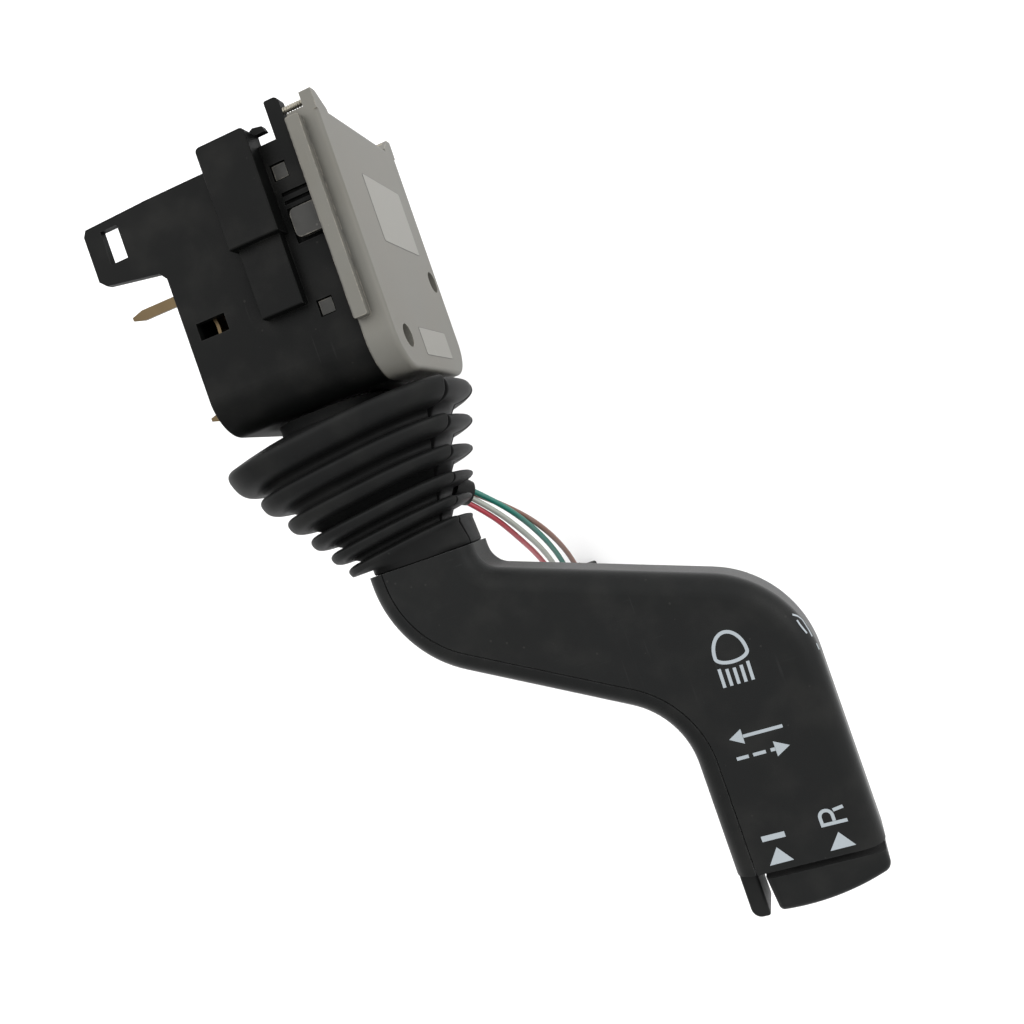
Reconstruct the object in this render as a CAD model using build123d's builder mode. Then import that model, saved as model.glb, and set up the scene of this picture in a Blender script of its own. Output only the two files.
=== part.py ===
from build123d import *
from math import cos, pi, radians, sin, tan
import os

os.makedirs("parts", exist_ok=True)

# Combination stalk switch for a steering column.
# +X leaves the grey side cover, +Y is the way the switch slides into the column,
# +Z is up in the car and leaves the face that carries the symbols.
# The origin is midway between the two guide rails, at their lower, stop end.

# Driving dimensions of the switch block, in millimetres
cover_depth = 52.0
cover_reach = 5.6
cover_plate = 2.4
cover_skirt = 1.85
cover_top = 49.3
cover_corner = 9.5
rail_width = 3.4
rail_length = 47.6
rail_proud = 2.5
ear_height = 3.3
ear_width = 3.0
ear_crest = 2.6
ear_slope = 7.0
ear_root = 1.5
base_wall = 2.0
block_left = 44.4
block_top = 46.0
block_bottom = 13.5
joint_clearance = 0.15
merge = 0.2
cover_edge = 1.2
housing_edge = 0.6
rail_corner = 0.5
mouth_corner = 4.0

# Locating holes in the cover: radius, and distance below the top and from the middle
locating_radius = 2.9
lower_hole_drop = 55.0
lower_hole_side = 16.7
upper_hole_drop = 37.3
upper_hole_side = 20.6
relief_depth = 6.0
relief_margin = 0.6

# Features of the base's walls
band_width = 13.0
band_from_rail = 11.4
band_proud = 5.5
band_step_drop = 2.5
band_top_rise = 3.7
band_length = 41.5
band_step_height = 25.0
band_inset = 1.0
band_corner = 1.2
band_edge = 0.4
spur_reach = 2.8
spur_rise = 0.9
post_width = 3.7
post_depth = 3.0
post_height = 9.0
post_from_rail = 3.1
post_crown = 0.5
post_shoulder = 1.4
arm_length = 17.0
arm_height = 15.0
arm_thickness = 2.2
arm_nose = 1.0
arm_corner = 1.6
arm_root_flare = 1.2
arm_root_drop = 4.0
arm_window_width = 4.8
arm_window_height = 8.3
arm_window_inset = 4.6
arm_window_drop = 2.4
latch_width = 4.0
upper_latch_height = 39.0
lower_latch_height = 6.2
latch_inset = 6.8
latch_tongue_margin = 0.7
latch_tongue_thickness = 1.6
nib_play = 0.3
nib_taper = 6.0
tongue_reach = 7.4
tongue_width = 6.8
tongue_height = 26.0
tongue_thickness = 1.5
tongue_corner = 1.4
seat_margin = 0.8
groove_rise = 2.2
groove_pitch = 2.0
groove_width = 0.9
side_window_width = 7.8
side_window_height = 4.2
side_window_inset = 1.4
side_window_level = 12.0
screw_radius = 0.85
screw_level = 51.5
screw_depth = 1.1
screw_seat = 2.0

# Terminals
blade_width = 2.6
blade_thickness = 0.8
blade_reach = 16.0
blade_front_z = 16.0
blade_levels = (23.4, 14.5, 5.5, -3.0)
blade_middle_z = -5.5
blade_taper = 3.0
blade_tail = 3.0
strip_radius = 8.0
strip_thickness = 0.8
strip_half_angle = 40.0
strip_end_gap = 1.0

# Lever pivots and their detents
pivot_x = -22.0
pivot_y = 2.0
swing_up = 8.0
swing_beam = 6.0
running_clearance = 0.05
trunnion_radius = 2.5
trunnion_seat = 4.0
trunnion_play = 0.4
trunnion_floor = 1.6
boss_radius = 5.0
carrier_width = 24.0
carrier_depth = 20.0
carrier_low = 7.0
carrier_wall = 2.2
carrier_corner = 1.5
bore_floor = 1.0
plunger_boss_wall = 1.8
plunger_proud = 2.4
yoke_slot = 18.0
yoke_gap = 12.6
lever_pin_radius = 2.0
root_radius = 8.0
root_thickness = 12.0
detent_radius = 9.8
track_radius = 22.0
track_width = 16.0
track_height = 22.0
track_depth = 10.0
track_behind = 4.0
track_bridge = 3.5
plunger_radius = 2.0
plunger_length = 5.0
beam_plunger_length = 3.6
detent_gap = 0.1
groove_depth = 0.2
groove_share = 0.6
sleeve_play = 0.3
sleeve_wall = 0.7
shank_width = 10.0
shank_depth = 9.0
shank_length = 80.0
lever_turn = 7.2
clamp_inset = 8.0
clamp_pin_radius = 1.5
mouth_width = 27.0
mouth_depth = 22.0

# Contacts inside the block
board_thickness = 1.6
board_height = 36.0
board_depth = 30.0
board_from_wall = 4.4
board_post_radius = 2.4
board_post_inset = 4.0
board_hole_play = 1.0
rivet_radius = 1.5
rivet_height = 0.6
rivet_angles = (35, 90, 145)
contact_gap = 0.3
bridge_width = 2.2
bridge_length = 5.0
bridge_thickness = 0.5
contact_corner = 3.0
contact_inset = 1.0

# Cancelling finger
finger_thickness = 4.0
finger_x = -22.0
finger_pivot_y = 35.0
finger_reach = 18.0
finger_width = 5.0
finger_pin_radius = 1.5
finger_swing = 12.0
finger_eye = 0.8
finger_tip_corner = 1.8
finger_slot_play = 1.0
finger_slot_length = 13.0
lug_thickness = 3.0
lug_width = 8.0
lug_gap = 3.0
lug_margin = 3.5
spring_build = 1.2

# Stalk outline: straight flanks, met by arcs
stalk_thickness = 22.0
neck_left = -27.5
neck_right = 0.5
neck_top = -56.5
spigot_step = 2.4
spigot_length = 5.6
spigot_corner = 4.0
neck_wall = 1.5
neck_passage_corner = 2.5
upper_flank_start = (0.5, -62.5)
upper_flank_slope = 19.5
lower_flank_start = (-27.5, -76.6)
lower_flank_slope = 28.6
grip_left = 35.3
grip_right = 70.2
grip_end = -150.0
crook_radius = 6.0
shoulder_radius = 27.0
elbow_radius = 31.0
inner_bend_radius = 20.0
face_edge_radius = 5.0
back_edge_radius = 6.0
shell_wall = 2.2
parting_inset = 4.8
parting_gap = 0.4
parting_level = -1.0
boss_wall = 1.6
boss_sink = 0.4
axle_play = 0.3

# Rocker and end button
rocker_gap = 2.0
rocker_left_length = 8.2
rocker_right_length = 4.4
rocker_half = 9.6
rocker_pin_radius = 1.2
rocker_pin_inset = 3.0
rocker_from_left = 6.3
stem_width = 16.0
stem_half = 6.0
stem_length = 7.6
rocker_inset = 0.6
rocker_slant = 0.8
rocker_crown = 60.0
rocker_corner = 2.6
rocker_small_corner = 1.2
rocker_edge = 2.0
stem_root = 0.5
opening_play_x = 1.2
opening_play_z = 0.6
rocker_board_margin = 3.0
dome_radius = 2.2
dome_gap = 0.6
dome_height = 2.9
dome_taper = 12.0
button_inset = 0.1
button_width = 4.2
button_length = 11.4
button_half = 6.5
button_gap = 0.4
button_corner = 2.4
button_small_corner = 0.6
button_edge = 1.0
button_hinge_inset = 2.9
button_opening_width = 3.0
button_opening_height = 6.0
button_spring_build = 0.8
button_spring_length = 2.6
button_pin_radius = 0.8
button_pin_inset = 2.8
button_eye = 0.9
button_stem_width = 1.8
button_stem_half = 2.4
button_pocket_half = 5.6

# Bellows
boot_tilt = 5.4
boot_tilt_gain = 0.5
boot_lean = 9.5
boot_ribs = 6
boot_first_half_x = 32.0
boot_first_half_z = 25.0
boot_first_drop = 8.1
boot_first_pitch = 7.8
boot_taper = 0.88
boot_wall = 1.3
boot_valley = 5.4
boot_valley_share = 0.85
boot_collar_half_x = 15.0
boot_collar_half_z = 17.5
boot_neck_length = 2.6
boot_seat_gap = 0.8
boot_cuff_length = 2.2
boot_cuff_build = 0.9
boot_first_x = -21.6
boot_roundness = 0.75
rib_fill = 0.38
rib_shoulder = 1.3
rib_flat = 0.45
rib_hollow = 0.8

# Leads
lead_radius = 0.75
connector_width = 11.0
connector_depth = 7.4
connector_length = 18.0
connector_x = 4.5
connector_y = -79.5
connector_top = -66.0
lead_pitch = 2.4
outlet_root_radius = 4.2
outlet_tip_radius = 3.3
outlet_inside = 4.0
outlet_length = 5.6
connector_corner = 0.8
connector_latch_width = 3.0
connector_latch_length = 7.0
connector_latch_proud = 1.2
cavity_width = 1.5
cavity_height = 3.0
cavity_depth = 5.0

# Levels and planes worked out from the sizes above
half_cover = cover_depth / 2
half_base = half_cover - cover_skirt - joint_clearance
half_inside = half_base - base_wall
lug_offset = finger_thickness / 2 + lug_gap
inner_face = cover_reach - cover_plate
base_right = inner_face - joint_clearance
rail_edge = rail_width / 2
wall_inside = base_wall - block_left
cover_bottom = block_bottom + 0.5
neck_middle = (neck_left + neck_right) / 2
screw_z = half_base - screw_depth
upper_hole = (cover_top - upper_hole_drop, -upper_hole_side)
lower_hole = (cover_top - lower_hole_drop, lower_hole_side)
blade_places = [(blade_levels[0], blade_front_z), (blade_levels[-1], blade_middle_z)]
blade_places += [(level, -blade_front_z) for level in blade_levels]


def block_outline(at_x, top, bottom, half_depth, corner):
    """Draw the block's end view: a rectangle whose two lower corners are round."""
    with BuildSketch(Plane.YZ.offset(at_x)) as outline:
        with Locations(((top - bottom) / 2, 0)):
            Rectangle(top + bottom, 2 * half_depth)
        fillet(outline.vertices().group_by(Axis.X)[0], corner)
    return outline.sketch


def box_between(low, high):
    """Make a box from its lowest and highest corners."""
    size = [b - a for a, b in zip(low, high)]
    middle = [(a + b) / 2 for a, b in zip(low, high)]
    return Pos(*middle) * Box(*size, mode=Mode.PRIVATE)


def keep(part, name):
    """Label a finished piece and write it to its own file."""
    part.label = name
    export_step(part, f"parts/{name}.step")


# Base housing: an open moulded box with a guide band and a harness latch arm
outer_end = block_outline(-block_left, block_top, block_bottom, half_base, cover_corner)
inner_end = block_outline(
    wall_inside, block_top - base_wall, block_bottom - base_wall, half_inside, cover_corner - base_wall
)
band_left = -band_from_rail - band_width
band_right = -band_from_rail
band_top = block_top + band_top_rise
arm_foot = block_top - arm_height - arm_root_drop
arm_left = -block_left - arm_length
post_right = -post_from_rail
latch_x = -rail_edge - latch_inset
tongue_x = -rail_edge - tongue_reach / 2
first_groove = tongue_height + tongue_width / 2 + groove_rise
left_window_x = wall_inside + side_window_inset + side_window_width / 2
with BuildPart() as base_housing:
    extrude(outer_end, amount=block_left + base_right)
    fillet(base_housing.faces().sort_by(Axis.X)[0].edges(), housing_edge)
    extrude(inner_end, amount=block_left - base_wall + base_right, mode=Mode.SUBTRACT)

    # Guide band, whose upper part stands further out and rises above the wall
    with BuildSketch(Plane.XY.offset(half_base)) as band_lower:
        with Locations((band_left + band_inset, band_top - band_length)):
            Rectangle(
                band_width - 2 * band_inset, band_length - band_top_rise, align=(Align.MIN, Align.MIN)
            )
    extrude(amount=band_proud - band_step_drop)
    fillet(base_housing.faces().sort_by(Axis.Z)[-1].edges(), band_edge)
    with BuildSketch(Plane.XY.offset(half_base)) as band_upper:
        with Locations((band_left, band_step_height)):
            Rectangle(band_width, band_top - band_step_height, align=(Align.MIN, Align.MIN))
        fillet(band_upper.vertices().sort_by(Axis.Y)[-2:], band_corner)
    extrude(amount=band_proud)
    fillet(base_housing.faces().sort_by(Axis.Z)[-1].edges(), band_edge)
    with BuildSketch(Plane.XY.offset(half_base)) as band_foot:
        with Locations((band_left, block_top - base_wall)):
            Rectangle(band_width, base_wall + band_top_rise, align=(Align.MIN, Align.MIN))
    extrude(amount=-base_wall)
    with BuildSketch(Plane.XY.offset(half_base)) as spur:
        with BuildLine():
            Polyline(
                (band_right - 2 * spur_rise, band_top - spur_rise),
                (band_right - 2 * spur_rise, band_top),
                (band_right, band_top + spur_rise),
                (band_right + spur_reach - spur_rise / 2, band_top + spur_rise / 2),
                (band_right + spur_reach, band_top - spur_rise),
                close=True,
            )
        make_face()
    extrude(amount=-base_wall)

    # Post beside the rail, which takes the cover's screw
    with BuildSketch(Plane.XY.offset(half_base)) as post:
        with Locations((post_right - post_width, block_top - base_wall)):
            Rectangle(post_width, post_height + base_wall, align=(Align.MIN, Align.MIN))
        fillet(post.vertices().group_by(Axis.Y)[-1].sort_by(Axis.X)[0], post_crown)
        fillet(post.vertices().group_by(Axis.Y)[-1].sort_by(Axis.X)[-1], post_shoulder)
    extrude(amount=-post_depth)

    mirror(about=Plane.XY)

    # Latch windows for the cover's nibs, the tongue's seat and the moulded grooves
    for side in (1, -1):
        outside = Plane.XY.offset(side * half_base)
        with BuildSketch(outside) as latch_windows:
            with Locations((latch_x, upper_latch_height), (latch_x, lower_latch_height)):
                Rectangle(latch_width, latch_width)
        extrude(amount=-side * base_wall, mode=Mode.SUBTRACT)
        with BuildSketch(outside) as shallow_cuts:
            with Locations((tongue_x, tongue_height)):
                Rectangle(tongue_reach + 2 * seat_margin, tongue_width + 2 * seat_margin)
            with Locations((tongue_x, first_groove), (tongue_x, first_groove + groove_pitch)):
                Rectangle(tongue_reach + 2 * seat_margin, groove_width)
        extrude(amount=-side * base_wall / 2, mode=Mode.SUBTRACT)

    # Harness latch arm, in line with the front wall, with its window
    with BuildSketch(Plane.XY.offset(half_base)) as arm:
        with BuildLine():
            Polyline(
                (wall_inside, block_top),
                (arm_left + arm_nose, block_top - arm_nose / 2),
                (arm_left, block_top - 2 * arm_nose),
                (arm_left, block_top - arm_height + arm_corner),
                (arm_left + arm_corner, block_top - arm_height),
                (-block_left - arm_root_flare, block_top - arm_height - 2 * arm_root_flare),
                (-block_left, arm_foot),
                (wall_inside, arm_foot),
                close=True,
            )
        make_face()
        with Locations((arm_left + arm_window_inset, block_top - arm_window_drop)):
            Rectangle(
                arm_window_width,
                arm_window_height,
                align=(Align.MIN, Align.MAX),
                mode=Mode.SUBTRACT,
            )
    extrude(amount=-arm_thickness)

    # Window in front of the bus strip
    with BuildSketch(Plane.XY.offset(half_base)) as side_window:
        with Locations((left_window_x, side_window_level)):
            Rectangle(side_window_width, side_window_height)
    extrude(amount=-base_wall, mode=Mode.SUBTRACT)

    # Mouth for the lever, slot for the cancelling finger
    with BuildSketch(Plane.XZ.offset(block_bottom)) as mouth:
        with Locations((pivot_x, 0)):
            RectangleRounded(mouth_width, mouth_depth, mouth_corner)
    extrude(amount=-base_wall, mode=Mode.SUBTRACT)
    with BuildSketch(Plane.XZ.offset(-block_top)) as finger_slot:
        with Locations((finger_x, 0)):
            Rectangle(finger_thickness + 2 * finger_slot_play, finger_slot_length)
    extrude(amount=base_wall, mode=Mode.SUBTRACT)

    # Boss for the carrier's trunnion, posts for the board, lugs for the finger's pin
    with BuildSketch(Plane.YZ.offset(wall_inside)) as trunnion_boss:
        with Locations((pivot_y, 0)):
            Circle(boss_radius)
            Circle(trunnion_radius + running_clearance, mode=Mode.SUBTRACT)
    extrude(amount=trunnion_seat)
    with BuildSketch(Plane.YZ.offset(wall_inside)) as board_posts:
        with Locations((pivot_y + board_height / 4, 0)):
            with GridLocations(board_height - 2 * board_post_inset, board_depth - 2 * board_post_inset, 2, 2):
                Circle(board_post_radius)
    extrude(amount=board_from_wall)
    with BuildSketch(Plane.XZ.offset(-block_top + base_wall)) as finger_lugs:
        with Locations((finger_x, 0)):
            with GridLocations(2 * lug_offset + lug_thickness, 0, 2, 1):
                Rectangle(lug_thickness, lug_width)
    extrude(amount=block_top - base_wall - finger_pivot_y + lug_margin)
    with BuildSketch(Plane.YZ.offset(finger_x - lug_offset - lug_thickness)) as finger_pin_hole:
        with Locations((finger_pivot_y, 0)):
            Circle(finger_pin_radius)
    extrude(amount=2 * (lug_offset + lug_thickness), mode=Mode.SUBTRACT)

    # Slots for the blades, relief behind the upper locating hole, holes for the screws
    with BuildSketch(Plane.YZ.offset(-block_left)) as blade_slots:
        with Locations(*blade_places):
            Rectangle(blade_width, blade_thickness)
    extrude(amount=base_wall, mode=Mode.SUBTRACT)
    with BuildSketch(Plane.YZ.offset(base_right)) as relief:
        with Locations(upper_hole):
            Circle(locating_radius + relief_margin)
    extrude(amount=-relief_depth, mode=Mode.SUBTRACT)
    with BuildSketch(Plane.YZ.offset(post_right - post_width)) as screw_holes:
        with Locations((screw_level, screw_z), (screw_level, -screw_z)):
            Circle(screw_radius)
    extrude(amount=post_width, mode=Mode.SUBTRACT)
keep(base_housing.part, "base_housing")

# Side cover: grey cap with the guide rails, the ears and the latch tongues
cover_end = block_outline(-rail_edge, cover_top, cover_bottom, half_cover, cover_corner)
cover_hollow = block_outline(
    -rail_edge,
    block_top + joint_clearance,
    block_bottom + joint_clearance,
    half_base + joint_clearance,
    cover_corner - cover_skirt,
)
with BuildPart() as side_cover:
    extrude(cover_end, amount=rail_edge + cover_reach)
    fillet(side_cover.faces().sort_by(Axis.X)[-1].edges(), cover_edge)
    extrude(cover_hollow, amount=rail_edge + inner_face, mode=Mode.SUBTRACT)
    with BuildSketch(Plane.XY.offset(half_cover)) as rail:
        Rectangle(rail_width, rail_length, align=(Align.CENTER, Align.MIN))
        fillet(rail.vertices(), rail_corner)
    extrude(amount=rail_proud)
    with BuildSketch(Plane.XY.offset(half_cover)) as rail_root:
        Rectangle(rail_width, rail_length, align=(Align.CENTER, Align.MIN))
    extrude(amount=-cover_skirt)
    with BuildSketch(Plane.YZ.offset(cover_reach)) as ear:
        with BuildLine():
            Polyline(
                (cover_top - ear_root, half_cover),
                (cover_top + ear_height, half_cover),
                (cover_top + ear_height, half_cover - ear_crest),
                (cover_top, half_cover - ear_slope),
                (cover_top - ear_root, half_cover - ear_slope),
                close=True,
            )
        make_face()
    extrude(amount=-ear_width)

    # Tongue that lies outside the base's wall, and two latch tongues inside it
    with BuildSketch(Plane.XY.offset(half_base + joint_clearance)) as tongue:
        with Locations((-rail_edge + merge, tongue_height)):
            Rectangle(tongue_reach + merge, tongue_width, align=(Align.MAX, Align.CENTER))
        fillet(tongue.vertices().group_by(Axis.X)[0], tongue_corner)
    extrude(amount=tongue_thickness - joint_clearance)
    latch_half = latch_width / 2 + latch_tongue_margin
    for level in (upper_latch_height, lower_latch_height):
        inside = half_inside - joint_clearance
        add(
            box_between(
                (latch_x - latch_half, level - latch_half, inside - latch_tongue_thickness),
                (inner_face + merge, level + latch_half, inside),
            )
        )
        with BuildSketch(Plane.XY.offset(inside)) as nib:
            with Locations((latch_x, level)):
                Rectangle(latch_width - nib_play, latch_width - nib_play)
        extrude(amount=base_wall - nib_play, taper=nib_taper)
    mirror(about=Plane.XY)

    # Boss for the carrier's other trunnion, locating holes and screw holes
    trunnion_end = inner_face - trunnion_floor
    with BuildSketch(Plane.YZ.offset(trunnion_end - trunnion_seat)) as cover_boss:
        with Locations((pivot_y, 0)):
            Circle(boss_radius)
            Circle(trunnion_radius + running_clearance, mode=Mode.SUBTRACT)
    extrude(amount=trunnion_seat + merge)
    with BuildSketch(Plane.YZ.offset(trunnion_end)) as boss_root:
        with Locations((pivot_y, 0)):
            Circle(boss_radius)
    extrude(amount=inner_face - trunnion_end)
    with BuildSketch(Plane.YZ.offset(cover_reach)) as locating_holes:
        with Locations(upper_hole, lower_hole):
            Circle(locating_radius)
    extrude(amount=-cover_plate, mode=Mode.SUBTRACT)
    with BuildSketch(Plane.YZ.offset(cover_reach - ear_width)) as ear_holes:
        with Locations((screw_level, screw_z), (screw_level, -screw_z)):
            Circle(screw_radius)
    extrude(amount=screw_seat, mode=Mode.SUBTRACT)
keep(side_cover.part, "side_cover")

# Screws that hold the posts to the cover's ears
with BuildPart() as cover_screws:
    with BuildSketch(Plane.YZ.offset(post_right - post_width)) as screw_section:
        with Locations((screw_level, screw_z), (screw_level, -screw_z)):
            Circle(screw_radius)
    extrude(amount=cover_reach - ear_width + screw_seat - post_right + post_width)
keep(cover_screws.part, "cover_screws")

# Terminal blades, pressed through the connector wall, with tapered tips
with BuildPart() as terminal_blades:
    for level, blade_z in blade_places:
        with BuildSketch(Plane.XY.offset(blade_z - blade_thickness / 2)) as blade:
            with BuildLine():
                Polyline(
                    (wall_inside + blade_tail, level + blade_width / 2),
                    (-block_left - blade_reach + blade_taper, level + blade_width / 2),
                    (-block_left - blade_reach, level + blade_width / 6),
                    (-block_left - blade_reach, level - blade_width / 6),
                    (-block_left - blade_reach + blade_taper, level - blade_width / 2),
                    (wall_inside + blade_tail, level - blade_width / 2),
                    close=True,
                )
            make_face()
        extrude(amount=blade_thickness)
keep(terminal_blades.part, "terminal_blades")

# Curved brass strip behind the left window
with BuildPart() as bus_strip:
    with BuildSketch(Plane.XY.offset(board_depth / 2)) as strip_section:
        with BuildLine():
            CenterArc(
                (left_window_x - strip_radius, side_window_level),
                strip_radius,
                -strip_half_angle,
                2 * strip_half_angle,
            )
            offset(amount=strip_thickness / 2, side=Side.BOTH, closed=True)
        make_face()
    extrude(amount=half_inside - board_depth / 2 - strip_end_gap)
keep(bus_strip.part, "bus_strip")

# Contact board on its four posts, with the fixed contacts riveted to it
board_face = wall_inside + board_from_wall + board_thickness
board_middle = pivot_y + board_height / 4
rivet_ring = board_height / 3
with BuildPart() as contact_board:
    with BuildSketch(Plane.YZ.offset(wall_inside + board_from_wall)) as board_outline:
        with Locations((board_middle, 0)):
            Rectangle(board_height, board_depth)
        with Locations((pivot_y, 0)):
            Circle(boss_radius + board_hole_play, mode=Mode.SUBTRACT)
    extrude(amount=board_thickness)
keep(contact_board.part, "contact_board")

with BuildPart() as fixed_contacts:
    with BuildSketch(Plane.YZ.offset(board_face)) as rivets:
        with Locations((pivot_y, 0)):
            for angle in rivet_angles:
                with PolarLocations(rivet_ring, 1, start_angle=angle - 90):
                    Circle(rivet_radius)
    extrude(amount=rivet_height)
keep(fixed_contacts.part, "fixed_contacts")

# Detent track: a concave face about the carrier's axis, with one groove for each position
track_back = pivot_y + track_radius + track_behind
detent_turns = (-swing_up, 0, swing_up)
with BuildPart() as detent_track:
    with BuildSketch(Plane.YZ.offset(pivot_x - track_width / 2)) as track_section:
        with Locations((track_back, 0)):
            Rectangle(track_depth, track_height, align=(Align.MAX, Align.CENTER))
            Rectangle(track_bridge, 2 * half_inside, align=(Align.MAX, Align.CENTER))
        with Locations((pivot_y, 0)):
            Circle(track_radius, mode=Mode.SUBTRACT)
            for turn in detent_turns:
                with PolarLocations(track_radius, 1, start_angle=turn):
                    Circle(plunger_radius * groove_share, mode=Mode.SUBTRACT)
    extrude(amount=track_width)
keep(detent_track.part, "detent_track")

# Cancelling finger on its pin, between the two lugs
with BuildPart() as finger_pin:
    with BuildSketch(Plane.YZ.offset(finger_x - lug_offset - lug_thickness)) as finger_pin_section:
        with Locations((finger_pivot_y, 0)):
            Circle(finger_pin_radius)
    extrude(amount=2 * (lug_offset + lug_thickness))
keep(finger_pin.part, "finger_pin")

with BuildPart() as cancel_finger:
    with BuildSketch(Plane.YZ.offset(finger_x - finger_thickness / 2)) as finger_outline:
        with Locations((finger_pivot_y, 0)):
            Circle(finger_width / 2 + finger_eye)
            Rectangle(finger_reach, finger_width, align=(Align.MIN, Align.CENTER))
        fillet(finger_outline.vertices().group_by(Axis.X)[-1], finger_tip_corner)
        with Locations((finger_pivot_y, 0)):
            Circle(finger_pin_radius + running_clearance, mode=Mode.SUBTRACT)
    extrude(amount=finger_thickness)
keep(cancel_finger.part, "cancel_finger")

finger_side = finger_x + finger_thickness / 2 + joint_clearance
with BuildPart() as finger_spring:
    with BuildSketch(Plane.YZ.offset(finger_side)) as finger_spring_section:
        with Locations((finger_pivot_y, 0)):
            Circle(finger_pin_radius + spring_build)
            Circle(finger_pin_radius, mode=Mode.SUBTRACT)
    extrude(amount=lug_gap - joint_clearance)
keep(finger_spring.part, "finger_spring")

# Carrier: it tips up and down on its trunnions and holds the lever in its yoke
carrier_left = pivot_x - carrier_width / 2
carrier_back = pivot_y + detent_radius + carrier_wall
plunger_tip = pivot_y + track_radius - detent_gap
plunger_boss_end = plunger_tip - plunger_proud
plunger_bore_end = pivot_y + detent_radius + bore_floor
trunnion_start = wall_inside + trunnion_play
with BuildPart() as carrier:
    with BuildSketch(Plane.XY) as carrier_outline:
        with Locations((carrier_left, pivot_y - carrier_low)):
            Rectangle(carrier_width, carrier_back - pivot_y + carrier_low, align=(Align.MIN, Align.MIN))
        fillet(carrier_outline.vertices(), carrier_corner)
    extrude(amount=carrier_depth / 2, both=True)
    with BuildSketch(Plane.YZ.offset(trunnion_start)) as trunnions:
        with Locations((pivot_y, 0)):
            Circle(trunnion_radius)
    extrude(amount=trunnion_end - trunnion_play - trunnion_start)
    with BuildSketch(Plane.XZ.offset(-carrier_back)) as plunger_boss:
        with Locations((pivot_x, 0)):
            Circle(plunger_radius + plunger_boss_wall)
    extrude(amount=carrier_back - plunger_boss_end)
    with BuildSketch(Plane.XY) as yoke:
        with Locations((pivot_x, pivot_y)):
            Rectangle(yoke_slot, carrier_low, align=(Align.CENTER, Align.MAX))
            Circle(detent_radius)
            for turn in (-swing_beam, 0, swing_beam):
                groove = detent_radius - plunger_radius * groove_share + groove_depth
                with PolarLocations(groove, 1, start_angle=90 + turn):
                    Circle(plunger_radius * groove_share)
    extrude(amount=yoke_gap / 2, both=True, mode=Mode.SUBTRACT)
    with BuildSketch(Plane.XY) as lever_pin_hole:
        with Locations((pivot_x, pivot_y)):
            Circle(lever_pin_radius)
    extrude(amount=carrier_depth / 2, both=True, mode=Mode.SUBTRACT)
    with BuildSketch(Plane.XZ.offset(-plunger_bore_end)) as plunger_bore:
        with Locations((pivot_x, 0)):
            Circle(plunger_radius + running_clearance)
    extrude(amount=plunger_bore_end - plunger_boss_end, mode=Mode.SUBTRACT)
keep(carrier.part, "carrier")

with BuildPart() as lever_pin:
    with BuildSketch(Plane.XY) as lever_pin_section:
        with Locations((pivot_x, pivot_y)):
            Circle(lever_pin_radius)
    extrude(amount=carrier_depth / 2, both=True)
keep(lever_pin.part, "lever_pin")

# Moving contacts: brass bridges on the carrier, facing the rivets on the board
bridge_face = board_face + rivet_height + contact_gap
with BuildPart() as moving_contacts:
    for angle in rivet_angles:
        bridge_y = pivot_y + rivet_ring * sin(radians(angle))
        bridge_z = rivet_ring * cos(radians(angle))
        with BuildSketch(Plane.YZ.offset(bridge_face)) as bridge:
            with Locations((bridge_y, bridge_z)):
                Rectangle(bridge_width, bridge_length)
        extrude(amount=bridge_thickness)
    with BuildSketch(Plane.YZ.offset(bridge_face + bridge_thickness)) as contact_plate:
        with Locations((pivot_y + trunnion_radius + contact_inset, 0)):
            Rectangle(
                rivet_ring + bridge_width / 2 - trunnion_radius - contact_inset,
                2 * rivet_ring * cos(radians(rivet_angles[0])) + bridge_length,
                align=(Align.MIN, Align.CENTER),
            )
        chamfer(contact_plate.vertices().group_by(Axis.X)[-1], contact_corner)
    extrude(amount=carrier_left - bridge_face - bridge_thickness)
keep(moving_contacts.part, "moving_contacts")


def plunger(tip_y, length):
    """Make a round-nosed detent plunger that points along +Y."""
    with BuildPart() as made:
        with BuildSketch(Plane.XY) as half_section:
            with BuildLine():
                Polyline((0, tip_y - plunger_radius), (0, tip_y - length), (plunger_radius, tip_y - length))
                Line((plunger_radius, tip_y - length), (plunger_radius, tip_y - plunger_radius))
                RadiusArc((plunger_radius, tip_y - plunger_radius), (0, tip_y), -plunger_radius)
                Line((0, tip_y), (0, tip_y - plunger_radius))
            make_face()
        revolve(axis=Axis.Y)
    return Pos(pivot_x, 0, 0) * made.part


def spring_sleeve(low_y, high_y):
    """Make the outer shape of a small coil spring along Y."""
    with BuildPart() as made:
        with BuildSketch(Plane.XZ.offset(-low_y)) as ring:
            with Locations((pivot_x, 0)):
                Circle(plunger_radius - sleeve_play)
                Circle(plunger_radius - sleeve_play - sleeve_wall, mode=Mode.SUBTRACT)
        extrude(amount=low_y - high_y)
    return made.part


indicator_plunger = plunger(plunger_tip, plunger_length)
keep(indicator_plunger, "indicator_plunger")
keep(spring_sleeve(plunger_bore_end, plunger_tip - plunger_length), "indicator_spring")

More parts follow.
